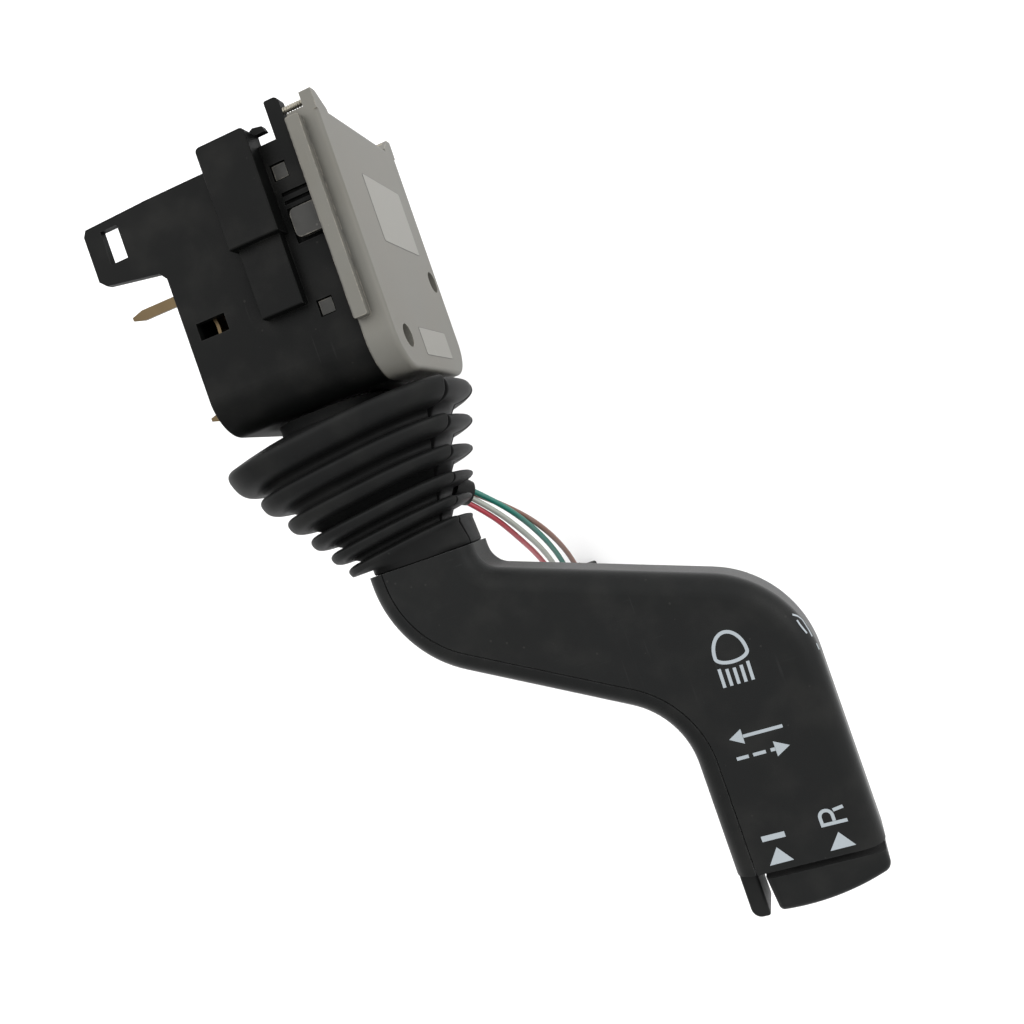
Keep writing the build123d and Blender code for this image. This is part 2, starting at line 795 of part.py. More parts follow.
# Lever arm: round root on the lever's pin, and the shank that the stalk is clamped to
beam_tip = pivot_y + detent_radius - detent_gap
beam_bore_end = pivot_y + lever_pin_radius + bore_floor
shank_plane = Plane(
    origin=(pivot_x, pivot_y, 0),
    x_dir=(cos(radians(lever_turn)), sin(radians(lever_turn)), 0),
    z_dir=(0, 0, 1),
)
with BuildPart() as lever_arm:
    with BuildSketch(Plane.XY) as root:
        with Locations((pivot_x, pivot_y)):
            Circle(root_radius)
    extrude(amount=root_thickness / 2, both=True)
    with BuildSketch(shank_plane) as shank:
        Rectangle(shank_width, shank_length, align=(Align.CENTER, Align.MAX))
    extrude(amount=shank_depth / 2, both=True)
    with BuildSketch(Plane.XY) as root_hole:
        with Locations((pivot_x, pivot_y)):
            Circle(lever_pin_radius + running_clearance)
    extrude(amount=root_thickness / 2, both=True, mode=Mode.SUBTRACT)
    with BuildSketch(Plane.XZ.offset(-beam_bore_end)) as beam_bore:
        with Locations((pivot_x, 0)):
            Circle(plunger_radius + running_clearance)
    extrude(amount=-root_radius, mode=Mode.SUBTRACT)
    with BuildSketch(shank_plane) as clamp_hole:
        with Locations((0, clamp_inset - shank_length)):
            Circle(clamp_pin_radius)
    extrude(amount=shank_depth / 2, both=True, mode=Mode.SUBTRACT)
keep(lever_arm.part, "lever_arm")
beam_plunger = plunger(beam_tip, beam_plunger_length)
keep(beam_plunger, "beam_plunger")
keep(spring_sleeve(beam_bore_end, beam_tip - beam_plunger_length), "beam_spring")

# Stalk outline, drawn as straight flanks whose corners are rounded by arcs
upper_run = grip_right - upper_flank_start[0]
upper_fall = tan(radians(upper_flank_slope))
lower_fall = tan(radians(lower_flank_slope))
shoulder = (grip_right, upper_flank_start[1] - upper_run * upper_fall)
far = grip_right + 10.0


def lower_flank(inset):
    """Give the four corners of the stalk's lower left side, moved inwards by inset."""
    rise = inset / cos(radians(lower_flank_slope))
    left, right = neck_left + inset, grip_left + inset
    elbow = (left, lower_flank_start[1] - inset * lower_fall + rise)
    bend = (right, lower_flank_start[1] - (right - neck_left) * lower_fall + rise)
    return (left, neck_top), elbow, bend, (right, grip_end)


def stalk_outline(inset):
    """Draw the stalk's outline, moved inwards by inset."""
    top, elbow, bend, end = lower_flank(0)
    with BuildSketch(Plane.XY) as outline:
        with BuildLine():
            FilletPolyline(
                (neck_right, neck_top),
                upper_flank_start,
                shoulder,
                (grip_right, grip_end),
                end,
                bend,
                elbow,
                top,
                radius=(0, crook_radius, shoulder_radius, 0, 0, inner_bend_radius, elbow_radius, 0),
                close=True,
            )
        make_face()
        if inset:
            offset(amount=-inset)
    return outline.sketch


def front_region(inset):
    """Draw the region of the front shell: all that lies right of the parting line."""
    top, elbow, bend, end = lower_flank(inset)
    with BuildSketch(Plane.XY.offset(parting_level)) as region:
        with BuildLine():
            FilletPolyline(
                (top[0], 0),
                elbow,
                bend,
                (end[0], 2 * grip_end),
                (far, 2 * grip_end),
                (far, 0),
                radius=(0, elbow_radius - inset, inner_bend_radius + inset, 0, 0, 0),
                close=True,
            )
        make_face()
    return region.sketch


# Solid stalk body with its spigot, from which the two shells are cut
outer_stalk = stalk_outline(0)
inner_stalk = stalk_outline(shell_wall)
inside_half = stalk_thickness / 2 - shell_wall
spigot_half_x = (neck_right - neck_left) / 2 - spigot_step
spigot_half_z = stalk_thickness / 2 - spigot_step
spigot_plane = Plane.XZ.offset(-neck_top)
with BuildPart() as stalk_body:
    extrude(outer_stalk, amount=stalk_thickness / 2, both=True)
    rims = stalk_body.edges().filter_by(Plane.XY).filter_by_position(Axis.Y, grip_end + 1, neck_top - 1)
    fillet(rims.group_by(Axis.Z)[-1], face_edge_radius)
    rims = stalk_body.edges().filter_by(Plane.XY).filter_by_position(Axis.Y, grip_end + 1, neck_top - 1)
    fillet(rims.group_by(Axis.Z)[0], back_edge_radius)
    with BuildSketch(spigot_plane) as spigot:
        with Locations((neck_middle, 0)):
            RectangleRounded(2 * spigot_half_x, 2 * spigot_half_z, spigot_corner)
    extrude(amount=-spigot_length)
with BuildSketch(spigot_plane) as neck_passage:
    with Locations((neck_middle, 0)):
        RectangleRounded(
            2 * spigot_half_x - 2 * neck_wall, 2 * spigot_half_z - 2 * neck_wall, neck_passage_corner
        )

# Places at the stalk's tip
rocker_left = grip_left + rocker_from_left
rocker_right = grip_right - rocker_inset
rocker_x = (rocker_left + rocker_right) / 2
rocker_top = grip_end - rocker_gap
rocker_pivot_y = grip_end + rocker_pin_inset
button_left = grip_left + button_inset
button_right = button_left + button_width
button_top = grip_end - button_gap
button_x = button_left + button_hinge_inset
button_pivot_y = grip_end + button_pin_inset
board_low = rocker_top + stem_length + dome_gap + dome_height


def hollow_out(level_sign):
    """Cut the passages that both shells share, inside the current part."""
    extrude(inner_stalk, amount=inside_half, both=True, mode=Mode.SUBTRACT)
    extrude(neck_passage.sketch, amount=-spigot_length, mode=Mode.SUBTRACT)
    extrude(neck_passage.sketch, amount=shell_wall, mode=Mode.SUBTRACT)
    with BuildSketch(shank_plane) as shank_pocket:
        Rectangle(
            shank_width + 2 * joint_clearance,
            shank_length + joint_clearance,
            align=(Align.CENTER, Align.MAX),
        )
    pocket_half = shank_depth / 2 + joint_clearance
    extrude(shank_pocket.sketch, amount=pocket_half, both=True, mode=Mode.SUBTRACT)
    with BuildSketch(Plane.XZ.offset(-grip_end)) as tip_openings:
        with Locations((rocker_x, 0)):
            Rectangle(stem_width + 2 * opening_play_x, 2 * stem_half + 2 * opening_play_z)
        with Locations((button_x, 0)):
            Rectangle(button_opening_width, button_opening_height)
    extrude(tip_openings.sketch, amount=-shell_wall, mode=Mode.SUBTRACT)

    # Bosses for the pins, a pocket for the button's hinge, and the pins' holes
    boss_base = Plane.XY.offset(level_sign * (inside_half + boss_sink))
    with BuildSketch(boss_base) as clamp_boss:
        with Locations(clamp_point):
            Circle(clamp_pin_radius + boss_wall)
    extrude(clamp_boss.sketch, amount=level_sign * (shank_depth / 2 - inside_half - boss_sink))
    with BuildSketch(boss_base) as rocker_boss:
        with Locations((rocker_x, rocker_pivot_y)):
            Circle(rocker_pin_radius + boss_wall)
    rocker_boss_reach = stem_half + axle_play - inside_half - boss_sink
    extrude(rocker_boss.sketch, amount=level_sign * rocker_boss_reach)
    with BuildSketch(Plane.XY) as button_pocket:
        with Locations((button_x, button_pivot_y)):
            Circle(button_pin_radius + button_eye + axle_play)
    extrude(button_pocket.sketch, amount=button_pocket_half, both=True, mode=Mode.SUBTRACT)
    with BuildSketch(Plane.XY) as pin_holes:
        with Locations(clamp_point):
            Circle(clamp_pin_radius)
        with Locations((rocker_x, rocker_pivot_y)):
            Circle(rocker_pin_radius)
        with Locations((button_x, button_pivot_y)):
            Circle(button_pin_radius)
    extrude(pin_holes.sketch, amount=inside_half, both=True, mode=Mode.SUBTRACT)


clamp_centre = shank_plane.from_local_coords(Vector(0, clamp_inset - shank_length, 0))
clamp_point = (clamp_centre.X, clamp_centre.Y)
with BuildPart() as front_shell:
    add(stalk_body.part)
    extrude(front_region(parting_inset + parting_gap / 2), amount=stalk_thickness, mode=Mode.INTERSECT)
    hollow_out(1)
keep(front_shell.part, "front_shell")

with BuildPart() as back_shell:
    add(stalk_body.part)
    extrude(front_region(parting_inset - parting_gap / 2), amount=stalk_thickness, mode=Mode.SUBTRACT)
    hollow_out(-1)
keep(back_shell.part, "back_shell")

# Clamp pin through the shank, seated in a boss of each shell
with BuildPart() as clamp_pin:
    with BuildSketch(Plane.XY) as clamp_pin_section:
        with Locations(clamp_point):
            Circle(clamp_pin_radius)
    extrude(amount=inside_half, both=True)
keep(clamp_pin.part, "clamp_pin")

# Rocker at the tip, its pin, and the board with two rubber domes behind it
with BuildPart() as rocker:
    with BuildSketch(Plane.XY) as rocker_outline:
        with BuildLine():
            Polyline(
                (rocker_right, rocker_top - rocker_right_length),
                (rocker_right, rocker_top),
                (rocker_left, rocker_top),
                (rocker_left + rocker_slant, rocker_top - rocker_left_length),
            )
            RadiusArc(
                (rocker_left + rocker_slant, rocker_top - rocker_left_length),
                (rocker_right, rocker_top - rocker_right_length),
                -rocker_crown,
            )
        make_face()
        fillet(rocker_outline.vertices().group_by(Axis.X)[-1].sort_by(Axis.Y)[0], rocker_corner)
        fillet(rocker_outline.vertices().sort_by(Axis.Y)[0], rocker_small_corner)
    extrude(amount=rocker_half, both=True)
    rims = rocker.edges().filter_by(Plane.XY)
    fillet(rims.filter_by_position(Axis.Y, 2 * grip_end, rocker_top - merge), rocker_edge)
    with BuildSketch(Plane.XY) as stem:
        with Locations((rocker_x, rocker_top - stem_root)):
            Rectangle(stem_width, stem_length + stem_root, align=(Align.CENTER, Align.MIN))
    extrude(amount=stem_half, both=True)
    with BuildSketch(Plane.XY) as rocker_hole:
        with Locations((rocker_x, rocker_pivot_y)):
            Circle(rocker_pin_radius + running_clearance)
    extrude(amount=stem_half, both=True, mode=Mode.SUBTRACT)
keep(rocker.part, "rocker")

with BuildPart() as rocker_pin:
    with BuildSketch(Plane.XY) as rocker_pin_section:
        with Locations((rocker_x, rocker_pivot_y)):
            Circle(rocker_pin_radius)
    extrude(amount=inside_half, both=True)
keep(rocker_pin.part, "rocker_pin")

with BuildPart() as rocker_board:
    with BuildSketch(Plane.XZ.offset(-board_low)) as rocker_board_outline:
        with Locations((rocker_x, 0)):
            Rectangle(stem_width + 2 * rocker_board_margin, 2 * inside_half)
    extrude(amount=-board_thickness)
keep(rocker_board.part, "rocker_board")

with BuildPart() as rocker_domes:
    with BuildSketch(Plane.XZ.offset(-board_low)) as dome_bases:
        with Locations((rocker_x, 0)):
            with GridLocations(stem_width - 2 * dome_radius, 0, 2, 1):
                Circle(dome_radius)
    extrude(amount=dome_height, taper=dome_taper)
keep(rocker_domes.part, "rocker_domes")

# Off button beside the rocker, hinged on its own pin
with BuildPart() as off_button:
    with BuildSketch(Plane.XY) as button_outline:
        with Locations((button_left, button_top)):
            Rectangle(button_width, button_length, align=(Align.MIN, Align.MAX))
        fillet(button_outline.vertices().group_by(Axis.Y)[0].sort_by(Axis.X)[0], button_corner)
        fillet(button_outline.vertices().group_by(Axis.Y)[0].sort_by(Axis.X)[-1], button_small_corner)
    extrude(amount=button_half, both=True)
    rims = off_button.edges().filter_by(Plane.XY)
    fillet(rims.filter_by_position(Axis.X, button_left - 1, button_left + 1), button_edge)
    with BuildSketch(Plane.XY) as button_stem:
        with Locations((button_x, button_top - stem_root)):
            Rectangle(
                button_stem_width,
                button_pivot_y - button_top + stem_root,
                align=(Align.CENTER, Align.MIN),
            )
        with Locations((button_x, button_pivot_y)):
            Circle(button_pin_radius + button_eye)
    extrude(amount=button_stem_half, both=True)
    with BuildSketch(Plane.XY) as button_hole:
        with Locations((button_x, button_pivot_y)):
            Circle(button_pin_radius + running_clearance)
    extrude(amount=button_stem_half, both=True, mode=Mode.SUBTRACT)
keep(off_button.part, "off_button")

with BuildPart() as button_pin:
    with BuildSketch(Plane.XY) as button_pin_section:
        with Locations((button_x, button_pivot_y)):
            Circle(button_pin_radius)
    extrude(amount=inside_half, both=True)
keep(button_pin.part, "button_pin")

with BuildPart() as button_spring:
    with BuildSketch(Plane.XY.offset(button_stem_half + joint_clearance)) as button_spring_section:
        with Locations((button_x, button_pivot_y)):
            Circle(button_pin_radius + button_spring_build)
            Circle(button_pin_radius, mode=Mode.SUBTRACT)
    extrude(amount=button_spring_length)
keep(button_spring.part, "button_spring")


def boot_ring(x, y, half_x, half_z, tilt):
    """Draw one ring of the bellows: a rounded rectangle square to the bellows' own axis."""
    turn = radians(tilt)
    plane = Plane(origin=(x, y, 0), x_dir=(cos(turn), sin(turn), 0), z_dir=(sin(turn), -cos(turn), 0))
    with BuildSketch(plane) as ring:
        RectangleRounded(2 * half_x, 2 * half_z, boot_roundness * min(half_x, half_z))
    return ring.sketch


def neck_ring(drop, inset):
    """Draw one ring of the short neck by which the bellows sits under the block."""
    level = -block_bottom - boot_seat_gap - drop
    return boot_ring(pivot_x, level, boot_collar_half_x - inset, boot_collar_half_z - inset, 0)


def boot_rings(inset):
    """Give the bellows' rings from the neck down, moved inwards by inset."""
    rings = [neck_ring(0, inset), neck_ring(boot_neck_length + inset, inset)]
    x, y, tilt = boot_first_x, -block_bottom - boot_first_drop, boot_tilt
    half_x, half_z, pitch = boot_first_half_x, boot_first_half_z, boot_first_pitch
    along_x, along_y = sin(radians(boot_lean)), -cos(radians(boot_lean))
    for rib in range(boot_ribs):
        crest = rib_fill * pitch
        steps = (
            (-crest, rib_shoulder),
            (-crest * rib_flat, 0),
            (crest * rib_flat, 0),
            (crest, rib_shoulder),
        )
        if inset:
            steps = ((0, rib_hollow),)
        for step, shrink in steps:
            side_x, side_z = half_x - shrink - inset, half_z - shrink - inset
            rings.append(boot_ring(x + step * along_x, y + step * along_y, side_x, side_z, tilt))
        if rib < boot_ribs - 1:
            middle = pitch / 2
            mean = (1 + boot_taper) / 2
            side_x = half_x * mean - boot_valley - inset
            side_z = half_z * mean - boot_valley * boot_valley_share - inset
            rings.append(boot_ring(x + middle * along_x, y + middle * along_y, side_x, side_z, tilt))
        x += pitch * along_x
        y += pitch * along_y
        tilt += boot_tilt_gain
        half_x *= boot_taper
        half_z *= boot_taper
        pitch *= boot_taper
    return rings


# Rubber bellows between the block and the stalk's neck
cuff = boot_wall + boot_cuff_build
outer_rings = boot_rings(0)
inner_rings = boot_rings(boot_wall)
outer_rings.append(boot_ring(neck_middle, neck_top, spigot_half_x + cuff, spigot_half_z + cuff, 0))
inner_rings.append(boot_ring(neck_middle, neck_top + boot_cuff_length, spigot_half_x, spigot_half_z, 0))
with BuildPart() as boot:
    loft(outer_rings, ruled=True)
    loft(inner_rings, ruled=True, mode=Mode.SUBTRACT)
    with BuildSketch(spigot_plane) as boot_mouth:
        with Locations((neck_middle, 0)):
            RectangleRounded(2 * spigot_half_x, 2 * spigot_half_z, spigot_corner)
    extrude(amount=-spigot_length - joint_clearance, mode=Mode.SUBTRACT)
keep(boot.part, "boot")

# Leads of the rocker's board: they leave the back of the bellows and hang to a connector
outlet_point = Vector(-3.7, -43.3, -14.8)
outlet_axis = Vector(0.55, -0.5, -0.67)
lead_routes = {
    "lead_green": [
        (-3.2, -42.0, -14.6),
        (2.4, -47.8, -18.0),
        (7.0, -56.0, -26.0),
        (8.4, -65.5, -40.0),
        (7.6, -74.5, -52.0),
        (5.7, -79.5, -60.0),
        (5.7, -79.5, -66.0),
    ],
    "lead_white": [
        (-4.0, -43.6, -14.8),
        (1.2, -49.6, -17.8),
        (5.0, -57.5, -25.0),
        (6.2, -66.0, -38.5),
        (5.2, -74.6, -51.5),
        (3.3, -79.5, -60.2),
        (3.3, -79.5, -66.0),
    ],
    "lead_red": [
        (-4.8, -45.2, -15.2),
        (0.2, -51.2, -18.8),
        (2.8, -58.6, -26.5),
        (3.6, -66.8, -40.5),
        (2.8, -74.8, -53.0),
        (0.9, -79.5, -60.4),
        (0.9, -79.5, -66.0),
    ],
    "lead_brown": [
        (-3.0, -43.6, -17.2),
        (3.2, -49.6, -22.4),
        (8.8, -57.6, -30.6),
        (10.8, -66.8, -43.0),
        (10.2, -75.4, -54.0),
        (8.1, -79.5, -60.6),
        (8.1, -79.5, -66.0),
    ],
}


def lead(points):
    """Sweep one lead along straight runs joined by arcs as large as the runs allow."""
    corners = [Vector(*point) for point in points]
    runs = [b - a for a, b in zip(corners, corners[1:])]
    radii = []
    for before, after in zip(runs, runs[1:]):
        half_turn = radians(before.get_angle(after) / 2)
        radii.append(0.45 * min(before.length, after.length) / tan(half_turn))
    print("lead radii", [round(radius, 1) for radius in radii])
    with BuildLine() as route:
        FilletPolyline(*points, radius=radii)
    with BuildPart() as made:
        with BuildSketch(Plane(origin=route.line @ 0, z_dir=route.line % 0)):
            Circle(lead_radius)
        sweep(path=route.line)
    length = sum(edge.length for edge in route.edges())
    section = pi * lead_radius**2
    print("lead length", round(length, 1), "volume", round(made.part.volume / section / length, 4))
    return made.part


for name, points in lead_routes.items():
    keep(lead(points), name)

# Sleeve that guides the leads out of the bellows
with BuildPart() as lead_outlet:
    outlet_plane = Plane(origin=outlet_point - outlet_axis * outlet_inside, z_dir=outlet_axis)
    with BuildSketch(outlet_plane) as outlet_base:
        Circle(outlet_root_radius)
    with BuildSketch(outlet_plane.offset(outlet_length)) as outlet_end:
        Circle(outlet_tip_radius)
    loft([outlet_base.sketch, outlet_end.sketch])
keep(lead_outlet.part, "lead_outlet")

# Four-way connector at the end of the leads
with BuildPart() as connector:
    with BuildSketch(Plane.XY.offset(connector_top)) as connector_outline:
        with Locations((connector_x, connector_y)):
            RectangleRounded(connector_width, connector_depth, connector_corner)
    extrude(amount=-connector_length)
    with BuildSketch(Plane.XZ.offset(-connector_y - connector_depth / 2)) as connector_latch:
        with Locations((connector_x, connector_top - connector_length / 2)):
            Rectangle(connector_latch_width, connector_latch_length)
    extrude(amount=-connector_latch_proud)
    with BuildSketch(Plane.XY.offset(connector_top - connector_length)) as cavities:
        with Locations((connector_x, connector_y)):
            with GridLocations(lead_pitch, 0, 4, 1):
                Rectangle(cavity_width, cavity_height)
    extrude(amount=cavity_depth, mode=Mode.SUBTRACT)
keep(connector.part, "connector")
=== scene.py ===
import bmesh
import bpy
import numpy as np
from bpy.props import FloatProperty, FloatVectorProperty, IntProperty, PointerProperty
from mathutils import Matrix, Vector


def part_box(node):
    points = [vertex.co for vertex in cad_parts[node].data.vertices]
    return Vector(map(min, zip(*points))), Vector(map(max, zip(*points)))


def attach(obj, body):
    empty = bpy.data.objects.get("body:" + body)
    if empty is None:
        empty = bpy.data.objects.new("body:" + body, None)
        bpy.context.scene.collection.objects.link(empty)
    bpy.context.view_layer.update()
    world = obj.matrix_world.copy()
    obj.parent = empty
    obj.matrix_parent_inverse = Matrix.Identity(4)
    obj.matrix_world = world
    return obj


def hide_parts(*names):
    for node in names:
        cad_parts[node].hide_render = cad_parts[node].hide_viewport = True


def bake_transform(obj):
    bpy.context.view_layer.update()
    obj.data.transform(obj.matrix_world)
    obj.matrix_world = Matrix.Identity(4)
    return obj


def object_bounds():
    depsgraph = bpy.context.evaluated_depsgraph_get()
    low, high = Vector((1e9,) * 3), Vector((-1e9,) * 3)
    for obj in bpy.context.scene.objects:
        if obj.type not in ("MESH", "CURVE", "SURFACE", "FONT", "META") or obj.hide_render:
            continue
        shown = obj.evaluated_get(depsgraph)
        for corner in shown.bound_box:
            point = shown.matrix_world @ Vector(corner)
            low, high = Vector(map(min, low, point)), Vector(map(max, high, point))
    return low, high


bl_info = {
    "name": "Column Stalk Switch",
    "version": (1, 0, 0),
    "blender": (4, 5, 0),
    "location": "View3D > Sidebar > Stalk Switch",
    "description": "Dresses a combination stalk switch: mouldings, bellows, leads and printed signs",
    "category": "Object",
}

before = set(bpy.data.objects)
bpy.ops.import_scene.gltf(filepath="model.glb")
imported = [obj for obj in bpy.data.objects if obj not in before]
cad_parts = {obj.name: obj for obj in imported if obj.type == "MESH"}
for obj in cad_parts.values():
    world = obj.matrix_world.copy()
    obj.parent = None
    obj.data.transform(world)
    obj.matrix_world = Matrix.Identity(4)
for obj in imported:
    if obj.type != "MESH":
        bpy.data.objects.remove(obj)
CAD_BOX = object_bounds()
MM = 0.001
FACE_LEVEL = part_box("front_shell")[1].z / MM
COVER_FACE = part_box("side_cover")[1].x / MM
FLOOR_LEVEL = CAD_BOX[0][2] / MM - 0.5
SEATED = 0.02


# Sizes and colours a user would change


class StalkSizes(bpy.types.PropertyGroup):
    """Sizes of the pieces that are added to the frame."""

    bellows_wall: FloatProperty(
        name="Bellows wall", description="Thickness of the rubber", default=1.0, min=0.3, max=2.0
    )
    bellows_depth: FloatProperty(
        name="Fold depth", description="How far a fold's valley lies inside its crests", default=5.4
    )
    bellows_round: FloatProperty(
        name="Fold fullness", description="Higher values make fatter folds", default=3.0, min=1.2, max=4.0
    )
    lead_diameter: FloatProperty(
        name="Lead diameter", description="Outer diameter of a lead's insulation", default=1.5, min=0.5
    )
    ink_height: FloatProperty(
        name="Ink height", description="How far printing stands off the plastic", default=0.03, min=0.01
    )
    thread_turns: IntProperty(
        name="Thread turns", description="Turns of thread on a cover screw", default=18, min=4
    )


class StalkColours(bpy.types.PropertyGroup):
    """Colours of the finishes, as linear values."""

    housing: FloatVectorProperty(
        name="Housing",
        description="Black moulding of the block",
        subtype="COLOR",
        default=(0.0023, 0.0025, 0.0024),
    )
    cover: FloatVectorProperty(
        name="Cover",
        description="Grey moulding of the cover",
        subtype="COLOR",
        default=(0.104, 0.102, 0.091),
    )
    stalk: FloatVectorProperty(
        name="Stalk",
        description="Black moulding of the lever",
        subtype="COLOR",
        default=(0.0046, 0.005, 0.005),
    )
    rubber: FloatVectorProperty(
        name="Rubber",
        description="Rubber of the bellows",
        subtype="COLOR",
        default=(0.0042, 0.0044, 0.0044),
    )
    ink: FloatVectorProperty(
        name="Ink",
        description="Printing on the lever",
        subtype="COLOR",
        default=(0.26, 0.29, 0.31),
    )
    brass: FloatVectorProperty(
        name="Brass",
        description="Terminals and contacts",
        subtype="COLOR",
        default=(0.092, 0.067, 0.036),
    )
    lead_green: FloatVectorProperty(
        name="Green lead",
        description="Insulation of the green lead",
        subtype="COLOR",
        default=(0.0, 0.105, 0.078),
    )
    lead_white: FloatVectorProperty(
        name="White lead",
        description="Insulation of the white lead",
        subtype="COLOR",
        default=(0.26, 0.27, 0.24),
    )
    lead_red: FloatVectorProperty(
        name="Red lead",
        description="Insulation of the red lead",
        subtype="COLOR",
        default=(0.36, 0.035, 0.05),
    )
    lead_brown: FloatVectorProperty(
        name="Brown lead",
        description="Insulation of the brown lead",
        subtype="COLOR",
        default=(0.13, 0.055, 0.035),
    )


# Shader helpers and the effects that several finishes share


def place(tree, kind, **settings):
    """Add a node of a kind; a name that is an attribute is set on it, any other on its input."""
    node = tree.nodes.new("ShaderNode" + kind)
    for name, value in settings.items():
        if hasattr(node, name):
            setattr(node, name, value)
        else:
            node.inputs[name.replace("_", " ")].default_value = value
    return node


def join(tree, source, target):
    """Link one socket to another."""
    tree.links.new(source, target)


def noise(tree, coords, scale, detail=3.0, stretch=None):
    """Add noise on object coordinates, scaled per millimetre, stretched along an axis if asked."""
    if stretch:
        mapping = place(tree, "Mapping")
        mapping.inputs["Scale"].default_value = stretch
        join(tree, coords, mapping.inputs["Vector"])
        coords = mapping.outputs["Vector"]
    node = place(tree, "TexNoise", Scale=scale / MM, Detail=detail)
    join(tree, coords, node.inputs["Vector"])
    return node.outputs["Fac"]


def ramp(tree, value, low, high):
    """Turn a value into a soft mask that is 0 below low and 1 above high."""
    node = place(tree, "MapRange", interpolation_type="SMOOTHSTEP")
    node.inputs["From Min"].default_value = low
    node.inputs["From Max"].default_value = high
    join(tree, value, node.inputs["Value"])
    return node.outputs["Result"]


def maths(tree, operation, first, second):
    """Add a math node on two values, each a socket or a number."""
    node = place(tree, "Math", operation=operation)
    for socket, value in zip(node.inputs, (first, second)):
        if isinstance(value, (int, float)):
            socket.default_value = value
        else:
            join(tree, value, socket)
    return node.outputs["Value"]


# A Mix node's sockets of one kind share their names with those of its other kinds
MIX_COLOURS = (6, 7)
MIX_RESULT = 2


def blend_colour(tree, factor, first, second):
    """Mix two colours, each a socket or a colour, by a mask's socket."""
    node = place(tree, "Mix", data_type="RGBA")
    join(tree, factor, node.inputs["Factor"])
    for index, value in zip(MIX_COLOURS, (first, second)):
        if isinstance(value, tuple):
            node.inputs[index].default_value = (*value[:3], 1.0)
        else:
            join(tree, value, node.inputs[index])
    return node.outputs[MIX_RESULT]


def toned(colour, share):
    """Give a colour made lighter or darker by a share."""
    return tuple(share * part for part in colour)


def effect(name, inputs, outputs, build):
    """Make a node group once, with named float inputs and outputs, and fill it with build."""
    if name in bpy.data.node_groups:
        return bpy.data.node_groups[name]
    group = bpy.data.node_groups.new(name, "ShaderNodeTree")
    for label, default in inputs.items():
        socket = group.interface.new_socket(label, in_out="INPUT", socket_type="NodeSocketFloat")
        socket.default_value = default
    for label in outputs:
        group.interface.new_socket(label, in_out="OUTPUT", socket_type="NodeSocketFloat")
    start = group.nodes.new("NodeGroupInput")
    end = group.nodes.new("NodeGroupOutput")
    coords = place(group, "TexCoord").outputs["Object"]
    for label, socket in build(group, coords, start.outputs).items():
        join(group, socket, end.inputs[label])
    return group


def use(tree, group, **values):
    """Place a node group in a material with its own values and return its outputs."""
    node = tree.nodes.new("ShaderNodeGroup")
    node.node_tree = group
    for name, value in values.items():
        node.inputs[name].default_value = value
    return node.outputs


def mould_grain():
    """Spark-eroded grain: fine noise broken up by a coarser one, as a height."""

    def build(tree, coords, inputs):
        fine = noise(tree, coords, 5.5, detail=2.0)
        pits = place(tree, "TexVoronoi", Scale=3.2 / MM)
        join(tree, coords, pits.inputs["Vector"])
        rough = maths(tree, "MULTIPLY", pits.outputs["Distance"], inputs["Pits"])
        height = maths(tree, "ADD", fine, rough)
        return {"Height": maths(tree, "MULTIPLY", height, inputs["Depth"])}

    return effect("Mould Grain", {"Depth": 1.0, "Pits": 0.5}, ["Height"], build)


def flow_marks():
    """Cloudy drift of colour and gloss that a moulding keeps from its melt."""

    def build(tree, coords, inputs):
        broad = noise(tree, coords, 0.045, detail=3.0)
        streaks = noise(tree, coords, 0.12, detail=4.0, stretch=(1.0, 0.25, 1.0))
        drift = maths(tree, "ADD", maths(tree, "MULTIPLY", broad, 0.6), maths(tree, "MULTIPLY", streaks, 0.4))
        return {"Drift": maths(tree, "MULTIPLY", ramp(tree, drift, 0.3, 0.7), inputs["Amount"])}

    return effect("Flow Marks", {"Amount": 1.0}, ["Drift"], build)


def edge_rub():
    """Mask of edges rubbed pale: where a rounded normal leaves the true one, in patches."""

    def build(tree, coords, inputs):
        rounded = place(tree, "Bevel", samples=4)
        join(tree, inputs["Radius"], rounded.inputs["Radius"])
        true_normal = place(tree, "NewGeometry").outputs["Normal"]
        dot = place(tree, "VectorMath", operation="DOT_PRODUCT")
        join(tree, rounded.outputs["Normal"], dot.inputs[0])
        join(tree, true_normal, dot.inputs[1])
        bend = maths(tree, "SUBTRACT", 1.0, dot.outputs["Value"])
        patches = ramp(tree, noise(tree, coords, 0.35, detail=5.0), 0.35, 0.65)
        worn = maths(tree, "MULTIPLY", ramp(tree, bend, 0.01, 0.16), patches)
        return {"Mask": maths(tree, "MULTIPLY", worn, inputs["Amount"])}

    return effect("Edge Rub", {"Radius": 0.0004, "Amount": 0.5}, ["Mask"], build)


def settled_dust():
    """Mask of dust: specks and a faint film, stronger where the surface faces up."""

    def build(tree, coords, inputs):
        normal = place(tree, "SeparateXYZ")
        join(tree, place(tree, "NewGeometry").outputs["Normal"], normal.inputs["Vector"])
        upward = ramp(tree, normal.outputs["Z"], -0.2, 0.9)
        film = ramp(tree, noise(tree, coords, 0.09, detail=6.0), 0.42, 0.75)
        grains = place(tree, "TexVoronoi", Scale=0.55 / MM)
        join(tree, coords, grains.inputs["Vector"])
        size = place(tree, "SeparateColor")
        join(tree, grains.outputs["Color"], size.inputs["Color"])
        reach = maths(tree, "MULTIPLY", ramp(tree, size.outputs["Red"], 0.86, 1.0), 0.16)
        speck = maths(tree, "LESS_THAN", grains.outputs["Distance"], reach)
        specks = maths(tree, "MULTIPLY", speck, inputs["Specks"])
        haze = maths(tree, "MULTIPLY", film, inputs["Film"])
        both = maths(tree, "MAXIMUM", specks, haze)
        return {"Mask": maths(tree, "MULTIPLY", both, upward)}

    return effect("Settled Dust", {"Film": 0.15, "Specks": 0.3}, ["Mask"], build)


